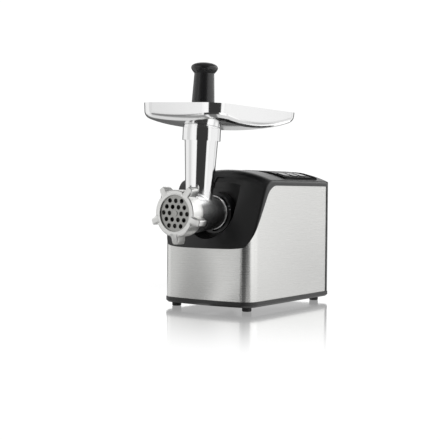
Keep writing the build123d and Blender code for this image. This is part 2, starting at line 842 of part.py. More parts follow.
head_casting.part.label = "head_casting"

# Plate key: a steel pin pressed into the barrel end, which stops the plate from turning
with BuildPart() as plate_key:
    with BuildSketch(key_plane.offset(plate_r - key_r)):
        Circle(key_r)
    extrude(amount=barrel_front_r - plate_r + key_r - seat_gap)
plate_key.part.label = "plate_key"

# Grinding plate: hexagonal pattern of holes round the screw's pin
plate_rows = range(-2, 3)
plate_spots = [
    ((i - (4 - abs(row)) / 2) * plate_hole_pitch, row * plate_hole_pitch * math.sqrt(3) / 2)
    for row in plate_rows
    for i in range(5 - abs(row))
]
plate_spots = [spot for spot in plate_spots if math.hypot(*spot) > plate_hole_pitch / 2]
with BuildPart() as grinding_plate:
    with BuildSketch(head_view(plate_t)):
        Circle(plate_r)
        with Locations(*plate_spots):
            Circle(plate_hole_r, mode=Mode.SUBTRACT)
        Circle(auger_pin_r + running_gap, mode=Mode.SUBTRACT)
        with Locations((0, plate_r)):
            Rectangle(2 * (key_r + seat_gap), 2 * (key_r + seat_gap), mode=Mode.SUBTRACT)
    extrude(amount=plate_t)
grinding_plate.part.label = "grinding_plate"

# Ring nut: a cap ring with five wrench lugs
ring_bore_r = barrel_front_r + slip_gap
ring_back_w = ring_front_w + ring_length
ring_lug_back_w = ring_lug_front_w + ring_lug_t
with BuildPart() as ring_nut:
    with BuildSketch(front_view(ring_lug_back_w)) as lugs:
        Circle(ring_r - ring_lug_sink)
        for i in range(ring_lug_count):
            angle = ring_lug_start + 360 / ring_lug_count * i
            with Locations(Location((0, 0, 0), (0, 0, angle))):
                Polygon(
                    (ring_bore_r, -ring_lug_root_width / 2),
                    (ring_lug_tip_r, -ring_lug_tip_width / 2),
                    (ring_lug_tip_r, ring_lug_tip_width / 2),
                    (ring_bore_r, ring_lug_root_width / 2),
                    align=None,
                )
        roots = lugs.vertices().filter_by(lambda v: math.hypot(v.X, v.Y) < ring_r)
        fillet(roots, radius=ring_lug_fillet)
        tips = lugs.vertices().filter_by(lambda v: math.hypot(v.X, v.Y) > ring_lug_tip_r)
        fillet(tips, radius=ring_lug_tip_fillet)
    extrude(amount=ring_lug_t)
    fillet(ring_nut.faces().filter_by(Axis.Y).edges(), radius=ring_lug_edge_r)
    with BuildSketch(axis_section) as ring_half:
        Polygon(
            (0, ring_front_w),
            (ring_r, ring_front_w),
            (ring_r, ring_back_w),
            (0, ring_back_w),
            align=None,
        )
        fillet(ring_half.vertices().group_by(Axis.X)[-1], radius=ring_edge_r)
    revolve(axis=head_axis)
    with BuildSketch(axis_section):
        Polygon(
            (0, ring_front_w),
            (ring_opening_r, ring_front_w),
            (ring_opening_r, -slip_gap),
            (ring_bore_r, -slip_gap),
            (ring_bore_r, ring_back_w),
            (0, ring_back_w),
            align=None,
        )
    revolve(axis=head_axis, mode=Mode.SUBTRACT)
ring_nut.part.label = "ring_nut"

spout_rest_v = collar_top_v + slip_gap
spout_outer_r = collar_seat_r - slip_gap


tray_rim_v = spout_rest_v + tray_depth
tray_low_v = spout_rest_v + tray_belly_lift - tray_belly * tray_belly_shares[0] ** tray_belly_power


def dish(inset):
    """Form of the tray, inset by its sheet: tapered walls over a belly of ellipses that flatten towards the middle."""
    with BuildPart() as belly:
        for share in tray_belly_shares:
            rise = tray_belly * share**tray_belly_power + inset
            with BuildSketch(throat_view(tray_low_v + rise)):
                with Locations((0, tray_belly_back)):
                    Ellipse(tray_belly_half_width * share - inset, tray_belly_half_length * share - inset)
        loft()
    with BuildPart() as form:
        with BuildSketch(throat_view(tray_rim_v + inset)):
            with Locations((0, (tray_back - tray_front) / 2)):
                RectangleRounded(
                    2 * (tray_half_width - inset),
                    tray_front + tray_back - 2 * inset,
                    tray_corner_r - inset,
                )
        extrude(amount=-tray_depth - inset, taper=tray_taper)
        add(belly.part, mode=Mode.INTERSECT)
        belly_edges = form.faces().filter_by(GeomType.BSPLINE)[0].edges()
        fillet(belly_edges.sort_by(throat_axis)[-1], radius=tray_turn_r - inset)
    return form.part


# Feed tray: a drawn dish with a turned spout that drops into the throat's collar
with BuildPart() as tray:
    add(dish(0))
    with BuildSketch(throat_section):
        Polygon(
            (0, spout_rest_v + spout_seat_height),
            (spout_seat_r, spout_rest_v + spout_seat_height),
            (spout_seat_r, spout_rest_v),
            (spout_outer_r, spout_rest_v),
            (spout_outer_r, spout_rest_v - spout_depth),
            (0, spout_rest_v - spout_depth),
            align=None,
        )
    revolve(axis=throat_axis)
    add(dish(tray_t), mode=Mode.SUBTRACT)
    with BuildSketch(throat_view(tray_rim_v)):
        Circle(spout_bore_r)
    extrude(amount=-tray_depth - collar_seat_depth, mode=Mode.SUBTRACT)
tray.part.label = "tray"

# Pusher: a hollow plunger with a rounded knob
with BuildPart() as pusher:
    with BuildSketch(throat_section) as pusher_half:
        Polygon(
            (0, pusher_low_v),
            (pusher_low_r, pusher_low_v),
            (pusher_waist_r, pusher_waist_v),
            (pusher_neck_r, pusher_neck_v),
            (knob_r, knob_low_v),
            (knob_r, knob_top_v),
            (0, knob_top_v),
            align=None,
        )
        fillet(pusher_half.vertices().group_by(Axis.X)[-1], radius=knob_edge_r)
        neck = pusher_half.vertices().sort_by_distance((pusher_neck_r, pusher_neck_v))[0]
        fillet(neck, radius=pusher_neck_fillet)
    revolve(axis=throat_axis)
    with BuildSketch(throat_section):
        Polygon(
            (0, pusher_low_v),
            (pusher_low_r - pusher_wall, pusher_low_v),
            (pusher_neck_r - pusher_wall, pusher_neck_v - pusher_wall),
            (0, pusher_neck_v - pusher_wall),
            align=None,
        )
    revolve(axis=throat_axis, mode=Mode.SUBTRACT)
pusher.part.label = "pusher"

# Feed screw: pin and square at the front, helical flight, shank and square tail at the back
flight_r = barrel_bore_r - auger_flight_gap
knife_w = plate_t + knife_front_gap
square_end_w = auger_start_w - auger_square_play
tail_w = coupling_start_w - seat_gap
tail_end_w = socket_end_w - seat_gap
with BuildPart() as auger:
    with BuildSketch(axis_section):
        Polygon(
            (0, -auger_pin_proud),
            (auger_pin_r, -auger_pin_proud),
            (auger_pin_r, square_end_w),
            (auger_core_r, square_end_w),
            (auger_core_r, tail_w),
            (0, tail_w),
            align=None,
        )
    revolve(axis=head_axis)
    with BuildSketch(front_view(square_end_w)):
        Rectangle(auger_square, auger_square)
    extrude(amount=square_end_w - knife_w)
    with BuildSketch(front_view(tail_end_w)):
        Rectangle(auger_tail, auger_tail)
    extrude(amount=tail_end_w - tail_w)
    with BuildLine(Plane.XY):
        flight_path = Helix(
            pitch=auger_pitch,
            height=auger_end_w - auger_start_w - auger_flight_t,
            radius=flight_r,
            center=(0, plate_y + auger_start_w + auger_flight_t / 2, axis_z),
            direction=(0, 1, 0),
        )
    flight_start = flight_path @ 0
    inward = Vector(0, flight_start.Y, axis_z) - flight_start
    flight_plane = Plane(origin=flight_start, x_dir=inward, z_dir=flight_path % 0)
    with BuildSketch(flight_plane):
        with Locations(((flight_r - auger_core_r + 1) / 2, 0)):
            Rectangle(flight_r - auger_core_r + 1, auger_flight_t)
    sweep(path=flight_path, is_frenet=True)
auger.part.label = "auger"

# Knife: four swept blades on a square hub
knife_reach = math.sqrt(knife_tip_r**2 - knife_blade_width**2 / 4)
with BuildPart() as knife:
    with BuildSketch(front_view(knife_w + knife_t)):
        Circle(knife_hub_r)
        for i in range(4):
            with Locations(Location((0, 0, 0), (0, 0, 90 * i))):
                Polygon(
                    (0, -knife_blade_width / 2),
                    (knife_reach, -knife_blade_width / 2),
                    (knife_reach, knife_blade_width / 4),
                    (0, knife_blade_width / 2),
                    align=None,
                )
        Rectangle(auger_square + 2 * running_gap, auger_square + 2 * running_gap, mode=Mode.SUBTRACT)
    extrude(amount=knife_t)
knife.part.label = "knife"

# Thrust washer between the screw and the barrel's end wall
with BuildPart() as thrust_washer:
    with BuildSketch(front_view(barrel_bore_w - slip_gap)):
        Circle(washer_r)
        Circle(auger_core_r + running_gap, mode=Mode.SUBTRACT)
    extrude(amount=washer_t)
thrust_washer.part.label = "thrust_washer"

# Drive coupling: takes the screw's square tail and the output shaft
shaft_start_w = socket_end_w + seat_gap
with BuildPart() as drive_coupling:
    with BuildSketch(front_view(coupling_end_w)):
        Circle(coupling_r)
        Circle(output_shaft_r + running_gap, mode=Mode.SUBTRACT)
    extrude(amount=coupling_end_w - shaft_start_w)
    with BuildSketch(front_view(shaft_start_w)):
        Circle(coupling_r)
        Rectangle(auger_tail + 2 * running_gap, auger_tail + 2 * running_gap, mode=Mode.SUBTRACT)
    extrude(amount=shaft_start_w - coupling_start_w)
drive_coupling.part.label = "drive_coupling"

# Output shaft and wheel
with BuildPart() as output_shaft:
    with BuildSketch(front_view(case_cover_end_w - slip_gap)):
        Circle(output_shaft_r)
    extrude(amount=case_cover_end_w - slip_gap - shaft_start_w)
output_shaft.part.label = "output_shaft"

with BuildPart() as output_gear:
    with BuildSketch(front_view(output_gear_w + output_gear_t)):
        Polygon(*gear_outline(output_teeth, output_module, idler_from_output), align=None)
        Circle(output_shaft_r + running_gap, mode=Mode.SUBTRACT)
    extrude(amount=output_gear_t)
output_gear.part.label = "output_gear"

with BuildPart() as output_bush:
    with BuildSketch(front_view(case_front_w + bush_t)):
        Circle(output_shaft_r + running_gap + bush_wall)
        Circle(output_shaft_r + running_gap, mode=Mode.SUBTRACT)
    extrude(amount=bush_t)
output_bush.part.label = "output_bush"

# Idler: big wheel driven by the motor, small pinion that drives the output wheel
with BuildPart() as idler_shaft:
    with BuildSketch(front_view(case_cover_end_w - slip_gap, idler_u, idler_v)):
        Circle(idler_shaft_r)
    extrude(amount=case_cover_end_w - case_front_w - 2 * slip_gap)
idler_shaft.part.label = "idler_shaft"

with BuildPart() as idler_pinion:
    half_tooth = 180 / output_pinion_teeth
    with BuildSketch(front_view(output_gear_w + output_gear_t + pinion_extra_t, idler_u, idler_v)):
        Polygon(
            *gear_outline(output_pinion_teeth, output_module, idler_from_output + 180 + half_tooth), align=None
        )
        Circle(idler_shaft_r + running_gap, mode=Mode.SUBTRACT)
    extrude(amount=output_gear_t + 2 * pinion_extra_t)
idler_pinion.part.label = "idler_pinion"

with BuildPart() as idler_gear:
    with BuildSketch(front_view(input_gear_w + input_gear_t, idler_u, idler_v)):
        Polygon(*gear_outline(input_teeth, input_module, motor_from_idler), align=None)
        Circle(idler_shaft_r + running_gap, mode=Mode.SUBTRACT)
    extrude(amount=input_gear_t)
idler_gear.part.label = "idler_gear"

# Gear case: a pan round the wheels, with bosses for the shafts and posts to the socket
output_tip_r = output_module * output_teeth / 2 + output_module
idler_tip_r = input_module * input_teeth / 2 + input_module


def case_outline(w, grow):
    """Tight outline round the three gear axes, grown by grow."""
    with BuildSketch(front_view(w)) as outline:
        Circle(output_tip_r + case_gap + grow)
        with Locations((idler_u, idler_v)):
            Circle(idler_tip_r + case_gap + grow)
        with Locations((0, -motor_drop)):
            Circle(bearing_r + grow)
        make_hull()
    return outline.sketch


output_rim_r = output_tip_r + case_gap + case_wall
idler_rim_r = idler_tip_r + case_gap + case_wall
case_screw_spots = [
    (output_rim_r * math.cos(math.radians(a)), output_rim_r * math.sin(math.radians(a))) for a in case_screw_angles
]
far_angle = math.radians(idler_screw_angle)
case_screw_spots.append((idler_u + idler_rim_r * math.cos(far_angle), idler_v + idler_rim_r * math.sin(far_angle)))
socket_post_ring = socket_flange_r - socket_post_r - seat_gap
idler_boss_end_w = output_gear_w - pinion_extra_t - gear_end_play
with BuildPart() as gear_case:
    extrude(case_outline(case_back_w, case_wall), amount=case_back_w - case_front_w)
    extrude(case_outline(case_back_w, 0), amount=case_back_w - case_front_w - case_wall, mode=Mode.SUBTRACT)
    with BuildSketch(front_view(case_back_w)):
        with Locations(*case_screw_spots):
            Circle(case_boss_r)
    extrude(amount=case_back_w - case_front_w)
    with BuildSketch(front_view(case_front_w + bush_t)):
        Circle(output_shaft_r + bush_wall + case_wall)
    extrude(amount=bush_t)
    with BuildSketch(front_view(idler_boss_end_w)):
        with Locations((idler_u, idler_v)):
            Circle(idler_shaft_r + case_wall)
        with Locations((0, release_v)):
            Circle(spring_r + bush_wall)
    extrude(amount=idler_boss_end_w - case_front_w)
    extrude(case_outline(case_back_w, 0), amount=case_back_w - idler_boss_end_w, mode=Mode.SUBTRACT)
    with BuildSketch(front_view(case_front_w)):
        with PolarLocations(socket_post_ring, 4, start_angle=45):
            Circle(socket_post_r)
    extrude(amount=case_front_w - socket_end_w - seat_gap)
    with BuildSketch(front_view(case_back_w)):
        Circle(output_shaft_r + 2 * running_gap + bush_wall)
        with Locations((idler_u, idler_v)):
            Circle(idler_shaft_r + running_gap)
    extrude(amount=case_back_w - case_front_w, mode=Mode.SUBTRACT)
    with BuildSketch(front_view(case_back_w)):
        with Locations(*case_screw_spots):
            Circle(case_screw_r + running_gap)
    extrude(amount=case_screw_length, mode=Mode.SUBTRACT)
gear_case.part.label = "gear_case"

# Gear case cover: closes the case, holds the motor's front bearing and carries the motor on four posts
motor_post_u = stator_half_width - motor_post_r - motor_post_inset
motor_post_v = stator_half_height - motor_post_r - motor_post_inset
motor_post_spots = [(u, v - motor_drop) for u in (motor_post_u, -motor_post_u) for v in (motor_post_v, -motor_post_v)]
with BuildPart() as gear_case_cover:
    extrude(case_outline(case_cover_end_w, case_wall), amount=case_cover_t - seat_gap)
    with BuildSketch(front_view(case_cover_end_w)):
        with Locations(*case_screw_spots):
            Circle(case_boss_r)
        with Locations((0, -motor_drop)):
            RectangleRounded(2 * (motor_post_u + motor_post_r), 2 * (motor_post_v + motor_post_r), motor_post_r)
    extrude(amount=case_cover_t - seat_gap)
    with BuildSketch(front_view(bearing_end_w)):
        with Locations((0, -motor_drop)):
            Circle(bearing_r + case_wall)
    extrude(amount=bearing_t - seat_gap)
    with BuildSketch(front_view(stator_front_w - seat_gap)):
        with Locations(*motor_post_spots):
            Circle(motor_post_r)
    extrude(amount=stator_front_w - case_cover_end_w)
    with BuildSketch(front_view(bearing_end_w)):
        Circle(output_shaft_r + running_gap)
        with Locations((idler_u, idler_v)):
            Circle(idler_shaft_r + running_gap)
        with Locations((0, -motor_drop)):
            Circle(bearing_r + running_gap)
        with Locations(*case_screw_spots):
            Circle(case_screw_r + running_gap)
    extrude(amount=bearing_t, mode=Mode.SUBTRACT)
gear_case_cover.part.label = "gear_case_cover"

# Screws of the gear case
with BuildPart() as case_screws:
    with BuildSketch(front_view(case_cover_end_w + seat_gap + case_screw_head_t)):
        with Locations(*case_screw_spots):
            Circle(case_screw_head_r)
    extrude(amount=case_screw_head_t)
    with BuildSketch(front_view(case_cover_end_w + seat_gap)):
        with Locations(*case_screw_spots):
            Circle(case_screw_r)
    extrude(amount=case_screw_length)
case_screws.part.label = "case_screws"

# Motor shaft, stepped down where it carries the pinion
pinion_w = input_gear_w - pinion_extra_t
pinion_end_w = input_gear_w + input_gear_t + pinion_extra_t
shaft_end_w = frame_w + frame_t - slip_gap
with BuildPart() as motor_shaft:
    with BuildSketch(front_view(shaft_end_w, 0, -motor_drop)):
        Circle(motor_shaft_r)
    extrude(amount=shaft_end_w - pinion_end_w - seat_gap)
    with BuildSketch(front_view(pinion_end_w + seat_gap, 0, -motor_drop)):
        Circle(pinion_seat_r)
    extrude(amount=pinion_end_w + seat_gap - pinion_w + pinion_extra_t)
motor_shaft.part.label = "motor_shaft"

# Motor pinion
with BuildPart() as motor_pinion:
    half_tooth = 180 / motor_pinion_teeth
    with BuildSketch(front_view(pinion_end_w, 0, -motor_drop)):
        Polygon(*gear_outline(motor_pinion_teeth, input_module, motor_from_idler + 180 + half_tooth), align=None)
        Circle(pinion_seat_r + running_gap, mode=Mode.SUBTRACT)
    extrude(amount=pinion_end_w - pinion_w)
motor_pinion.part.label = "motor_pinion"

# Cooling fan: a disc with straight blades on its front
with BuildPart() as motor_fan:
    with BuildSketch(front_view(fan_front_w + fan_t, 0, -motor_drop)):
        Circle(fan_hub_r)
        with PolarLocations((fan_hub_r + fan_r) / 2, fan_blades):
            Rectangle(fan_r - fan_hub_r + fan_blade_t / 2, fan_blade_t)
    extrude(amount=fan_t)
    with BuildSketch(front_view(fan_front_w + fan_t, 0, -motor_drop)):
        Circle(fan_r)
    extrude(amount=fan_disc_t)
    with BuildSketch(front_view(fan_front_w + fan_t, 0, -motor_drop)):
        Circle(motor_shaft_r + running_gap)
    extrude(amount=fan_t, mode=Mode.SUBTRACT)
motor_fan.part.label = "motor_fan"

# Armature: slotted core
with BuildPart() as armature_core:
    with BuildSketch(front_view(stator_back_w - armature_inset, 0, -motor_drop)):
        Circle(armature_r)
        with PolarLocations(armature_r - slot_depth / 2, slot_count):
            Rectangle(slot_depth, slot_width, mode=Mode.SUBTRACT)
        Circle(motor_shaft_r + running_gap, mode=Mode.SUBTRACT)
    extrude(amount=stator_length - 2 * armature_inset)
armature_core.part.label = "armature_core"

# Commutator: copper bars, parted by shallow slits
with BuildPart() as commutator:
    with BuildSketch(front_view(commutator_front_w + commutator_length, 0, -motor_drop)):
        Circle(commutator_r)
        with PolarLocations(commutator_r, slot_count):
            Rectangle(slot_width, slot_width / 4, mode=Mode.SUBTRACT)
        Circle(motor_shaft_r + running_gap, mode=Mode.SUBTRACT)
    extrude(amount=commutator_length)
commutator.part.label = "commutator"

# Stator: a stack of sheets with a round bore and two slots for the coils
stator_bore_r = armature_r + air_gap
coil_r = stator_bore_r + coil_wall
with BuildPart() as motor_stator:
    with BuildSketch(front_view(stator_back_w, 0, -motor_drop)):
        RectangleRounded(2 * stator_half_width, 2 * stator_half_height, stator_corner_r)
        Circle(stator_bore_r, mode=Mode.SUBTRACT)
    extrude(amount=stator_length)
    for middle in pole_angles:
        slot_view = front_view(stator_back_w, 0, -motor_drop)
        slot = sector(slot_view, coil_r - seat_gap, coil_r + coil_t + seat_gap, middle, coil_angle + coil_slot_play)
        extrude(slot, amount=stator_length, mode=Mode.SUBTRACT)
motor_stator.part.label = "motor_stator"

# Field coils
with BuildPart() as field_coils:
    for middle in pole_angles:
        coil_view = front_view(stator_back_w + coil_overhang, 0, -motor_drop)
        extrude(sector(coil_view, coil_r, coil_r + coil_t, middle, coil_angle), amount=stator_length + 2 * coil_overhang)
field_coils.part.label = "field_coils"

# Motor bearings, one in the gear case cover and one in the end frame
with BuildPart() as motor_bearings:
    for end_w in (bearing_end_w, frame_w + frame_t - seat_gap):
        with BuildSketch(front_view(end_w, 0, -motor_drop)):
            Circle(bearing_r)
            Circle(motor_shaft_r + running_gap, mode=Mode.SUBTRACT)
        extrude(amount=bearing_t - seat_gap)
motor_bearings.part.label = "motor_bearings"

# End frame: a bar with the rear bearing and two legs back to the stator
leg_u = stator_half_width - frame_leg_t / 2
with BuildPart() as motor_end_frame:
    with BuildSketch(front_view(frame_w + frame_t, 0, -motor_drop)):
        Circle(bearing_r + case_wall)
        Rectangle(2 * stator_half_width, frame_leg_height)
        Circle(bearing_r + running_gap, mode=Mode.SUBTRACT)
    extrude(amount=frame_t)
    with BuildSketch(front_view(frame_w, 0, -motor_drop)):
        with Locations((leg_u, 0), (-leg_u, 0)):
            Rectangle(frame_leg_t, frame_leg_height)
    extrude(amount=frame_w - stator_back_w - seat_gap)
motor_end_frame.part.label = "motor_end_frame"

# Brush holders, between the legs of the end frame and the commutator
brush_inner = commutator_r + brush_gap
brush_outer = stator_half_width - frame_leg_t - seat_gap
brush_w = commutator_front_w + (commutator_length + brush_width) / 2
with BuildPart() as brush_holders:
    with BuildSketch(front_view(brush_w, 0, -motor_drop)):
        with Locations(((brush_inner + brush_outer) / 2, 0), (-(brush_inner + brush_outer) / 2, 0)):
            Rectangle(brush_outer - brush_inner, brush_width)
    extrude(amount=brush_width)
brush_holders.part.label = "brush_holders"

# Cradle: an I-shaped bracket from the base up to the stator
cradle_low_v = foot_height + base_floor_t + seat_gap - axis_z
cradle_top_v = -motor_drop - stator_half_height - seat_gap
with BuildPart() as motor_cradle:
    with BuildSketch(front_view(stator_back_w - cradle_t)):
        with Locations((0, cradle_low_v + cradle_t / 2), (0, cradle_top_v - cradle_t / 2)):
            Rectangle(2 * stator_half_width - 2 * stator_corner_r, cradle_t)
        with Locations((0, (cradle_low_v + cradle_top_v) / 2)):
            Rectangle(2 * cradle_t, cradle_top_v - cradle_low_v)
    extrude(amount=stator_length - 2 * cradle_t)
motor_cradle.part.label = "motor_cradle"

# Release button: its face follows the cover, and a plate holds it from behind
release_back_w = release_plate_w + release_plate_t
with BuildPart() as release_button:
    extrude(release_outline(0, release_back_w), amount=corner_r)
    add(cover_form(release_recess), mode=Mode.INTERSECT)
    extrude(recess_outline(0, recess_floor_w + release_recess), amount=housing_width, mode=Mode.SUBTRACT)
    extrude(release_outline(release_plate_edge, release_back_w), amount=release_plate_t)
    with BuildSketch(front_view(release_back_w + release_stem_length, 0, release_v)):
        Circle(release_stem_r)
    extrude(amount=release_stem_length)
release_button.part.label = "release_button"

# Release spring: a coil between the button and a pad on the gear case
spring_start_w = release_back_w + slip_gap + spring_wire_r
spring_length = case_front_w - slip_gap - spring_wire_r - spring_start_w
with BuildPart() as release_spring:
    with BuildLine(Plane.XY):
        coil_path = Helix(
            pitch=spring_length / spring_turns,
            height=spring_length,
            radius=spring_r,
            center=(0, plate_y + spring_start_w, axis_z + release_v),
            direction=(0, 1, 0),
        )
    with BuildSketch(Plane(origin=coil_path @ 0, z_dir=coil_path % 0)):
        Circle(spring_wire_r)
    sweep(path=coil_path, is_frenet=True)
release_spring.part.label = "release_spring"

os.makedirs("parts", exist_ok=True)
pieces = [
    base_plate, rubber_feet, steel_wrap, top_cover, rear_cover, cord_gland, rear_screws, control_panel, *push_buttons,
    switch_board, head_socket, head_casting, plate_key, grinding_plate, ring_nut, tray, pusher, auger, knife,
    thrust_washer, drive_coupling, output_shaft, output_gear, output_bush, idler_shaft, idler_pinion, idler_gear,
    gear_case, gear_case_cover, case_screws, motor_shaft, motor_pinion, motor_fan, armature_core, commutator,
    motor_stator, field_coils, motor_bearings, motor_end_frame, brush_holders, motor_cradle, release_button,
    release_spring,
]
for piece in pieces:
    export_step(piece.part, f"parts/{piece.part.label}.step")
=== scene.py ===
"""Electric meat grinder: finishes, signs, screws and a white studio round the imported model, in metres."""
import math

import bmesh
import bpy
import numpy as np
from mathutils import Matrix, Vector


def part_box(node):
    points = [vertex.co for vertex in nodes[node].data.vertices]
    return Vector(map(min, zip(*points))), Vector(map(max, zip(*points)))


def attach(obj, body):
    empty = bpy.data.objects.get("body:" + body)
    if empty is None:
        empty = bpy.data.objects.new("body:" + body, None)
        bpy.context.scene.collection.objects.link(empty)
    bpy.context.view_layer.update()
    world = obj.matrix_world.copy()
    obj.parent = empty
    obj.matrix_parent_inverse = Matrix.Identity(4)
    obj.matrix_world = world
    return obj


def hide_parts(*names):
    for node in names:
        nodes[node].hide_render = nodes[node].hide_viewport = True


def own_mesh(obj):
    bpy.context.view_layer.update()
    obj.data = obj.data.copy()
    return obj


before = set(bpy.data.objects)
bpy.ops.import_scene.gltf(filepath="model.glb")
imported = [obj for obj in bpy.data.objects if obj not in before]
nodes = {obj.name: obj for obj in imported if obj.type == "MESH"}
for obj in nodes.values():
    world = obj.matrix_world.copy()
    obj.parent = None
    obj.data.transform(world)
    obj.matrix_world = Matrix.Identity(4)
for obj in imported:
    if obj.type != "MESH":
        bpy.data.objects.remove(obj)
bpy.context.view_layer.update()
mm = 0.001


# Base plate: a shallow pan moulded in charcoal ABS, which closes the housing from below.
# The mould was spark-eroded, and the fine matt grain it leaves breaks up the highlights.
def linear(hex_colour):
    """sRGB hex to linear RGBA: a dark channel is divided by 12.92, a lighter one raised to the power 2.4."""
    c = np.array([int(hex_colour[i:i + 2], 16) / 255 for i in (1, 3, 5)])
    return (*np.where(c <= 0.04045, c / 12.92, ((c + 0.055) / 1.055) ** 2.4).tolist(), 1.0)


def add_node(tree, kind, settings=None, links=None):
    """Adds a node, sets its sockets or properties by name, and links other nodes' outputs to its sockets."""
    made = tree.nodes.new(kind)
    for name, value in (settings or {}).items():
        if isinstance(name, int) or name in made.inputs:
            made.inputs[name].default_value = value
        else:
            setattr(made, name, value)
    for name, output in (links or {}).items():
        tree.links.new(output, made.inputs[name])
    return made


noise_low, noise_high = 0.25, 0.75  # nearly all of the noise lies between these values


def finish(name, settings, marks, gloss_spread, relief):
    """A finish: noise drawn out to its marks' sizes along X, Y and Z varies the gloss and lifts the skin."""
    made = bpy.data.materials.new(name)
    made.use_nodes = True
    tree = made.node_tree
    shader = tree.nodes["Principled BSDF"]
    for socket, value in settings.items():
        shader.inputs[socket].default_value = value
    made.diffuse_color = shader.inputs["Base Color"].default_value
    place = add_node(tree, "ShaderNodeTexCoord")
    sized = add_node(
        tree, "ShaderNodeMapping", {"Scale": tuple(1 / size for size in marks)},
        {"Vector": place.outputs["Object"]},
    )
    skin = add_node(
        tree, "ShaderNodeTexNoise", {"Scale": 1.0, "Detail": 4.0, "Roughness": 0.6},
        {"Vector": sized.outputs["Vector"]},
    )
    rough = settings["Roughness"]
    gloss = add_node(
        tree, "ShaderNodeMapRange",
        {"From Min": noise_low, "From Max": noise_high,
         "To Min": rough - gloss_spread, "To Max": rough + gloss_spread},
        {"Value": skin.outputs["Fac"]},
    )
    lift = add_node(
        tree, "ShaderNodeBump", {"Strength": 1.0, "Distance": relief}, {"Height": skin.outputs["Fac"]}
    )
    tree.links.new(gloss.outputs["Result"], shader.inputs["Roughness"])
    tree.links.new(lift.outputs["Normal"], shader.inputs["Normal"])
    return made


def dress(material, *names):
    """Gives CAD nodes a material in every slot."""
    for name in names:
        for slot in nodes[name].material_slots:
            slot.material = material


erosion_grain = 0.6 * mm  # the real grain is about 0.2 mm and is drawn coarser, so that it shows
charcoal_abs = finish(
    "spark-eroded charcoal ABS", {"Base Color": linear("#2E2E2E"), "Roughness": 0.45, "IOR": 1.53},
    marks=(erosion_grain,) * 3, gloss_spread=0.05, relief=0.01 * mm,
)
dress(charcoal_abs, "base_plate")

# Rubber feet: black moulded rubber buttons, pushed up through holes in the base.
# Rubber is dull and a little uneven, so it stays the darkest thing under the machine.
rubber_grain = 1.2 * mm  # width of the uneven patches, drawn coarser than real ones, so that they show
foot_rubber = finish(
    "moulded black rubber", {"Base Color": linear("#161616"), "Roughness": 0.7, "IOR": 1.52},
    marks=(rubber_grain,) * 3, gloss_spread=0.08, relief=0.02 * mm,
)
dress(foot_rubber, "rubber_feet")

# Motor and gears: shafts, wheels, windings and stamped iron that fill the housing behind the head.
# They show only with a cover off, each in the bare finish that it leaves its machine with.
lathe_marks = (40 * mm, 0.3 * mm, 40 * mm)
wire_marks = (12 * mm, 12 * mm, 0.7 * mm)
sheet_marks = (30 * mm, 0.5 * mm, 30 * mm)
fine_marks = (0.8 * mm,) * 3  # drawn coarser than the real grain, so that it shows
inner_finishes = (
    ("turned steel", "#8C8C8A", 1.0, 0.32, lathe_marks,
     ("motor_shaft", "motor_pinion", "idler_shaft", "idler_pinion", "output_shaft", "drive_coupling",
      "case_screws", "motor_bearings")),
    ("moulded nylon", "#D8D5C8", 0.0, 0.45, fine_marks,
     ("output_gear", "idler_gear", "motor_fan", "thrust_washer")),
    ("sintered bronze", "#8F7042", 1.0, 0.5, fine_marks, ("output_bush", "brush_holders")),
    ("lacquered copper wire", "#A4552C", 1.0, 0.35, wire_marks, ("field_coils", "commutator")),
    ("stamped lamination iron", "#4A4A4C", 1.0, 0.55, sheet_marks, ("motor_stator", "armature_core")),
    ("glass-filled grey nylon", "#4B4B4D", 0.0, 0.55, fine_marks,
     ("gear_case", "gear_case_cover", "motor_end_frame", "motor_cradle")),
    ("green board laminate", "#1F5A34", 0.0, 0.4, fine_marks, ("switch_board",)),
)
for name, colour, metallic, roughness, marks, pieces in inner_finishes:
    settings = {"Base Color": linear(colour), "Metallic": metallic, "Roughness": roughness}
    dress(finish(name, settings, marks, gloss_spread=0.06, relief=0.01 * mm), *pieces)

# Steel wrap: one sheet of stainless steel, brushed along its length and then bent round the front corners.
# The level brush lines smear reflections up and down and leave soft upright bands on the corners.
brush_marks = (90 * mm, 90 * mm, 0.3 * mm)  # real lines are about 0.1 mm apart and are drawn coarser, to show
brushed_stainless = finish(
    "brushed stainless steel",
    {"Base Color": linear("#DADAD8"), "Metallic": 1.0, "Roughness": 0.26, "Anisotropic": 0.9,
     "Anisotropic Rotation": 0.25},
    marks=brush_marks, gloss_spread=0.04, relief=0.0006 * mm,
)
tree = brushed_stainless.node_tree
brushed_way = add_node(tree, "ShaderNodeTangent", {"direction_type": "RADIAL", "axis": "Z"})
tree.links.new(brushed_way.outputs["Tangent"], tree.nodes["Principled BSDF"].inputs["Tangent"])
dress(brushed_stainless, "steel_wrap")

# Top cover: the black moulded hood with the slanted front, the crowned deck and the bay for the head.
# Its mould has a finer grain than the base's, so the deck still shines where light skims along it.
cover_grain = 0.5 * mm  # the real grain is about 0.1 mm and is drawn coarser, so that it shows
satin_abs = finish(
    "satin black ABS", {"Base Color": linear("#161617"), "Roughness": 0.34, "IOR": 1.5},
    marks=(cover_grain,) * 3, gloss_spread=0.04, relief=0.006 * mm,
)
dress(satin_abs, "top_cover")

# Rear cover: a flat moulded panel with louvres, which closes the back and carries the cord gland.
# It is dark grey ABS with the base's coarse grain, and the gland in it is soft black rubber.
grey_abs = finish(
    "spark-eroded grey ABS", {"Base Color": linear("#5A5A5A"), "Roughness": 0.45, "IOR": 1.53},
    marks=(erosion_grain,) * 3, gloss_spread=0.05, relief=0.012 * mm,
)
dress(grey_abs, "rear_cover")
dress(foot_rubber, "cord_gland")


# Rear screws: four zinc-plated pan-head screws with cross recesses, driven through the rear cover.
# Each is one surface turned round its axis, with the cross pressed in. Bright zinc gives small, hard glints.
weld_distance = 0.001 * mm
crease_angle = math.radians(38)


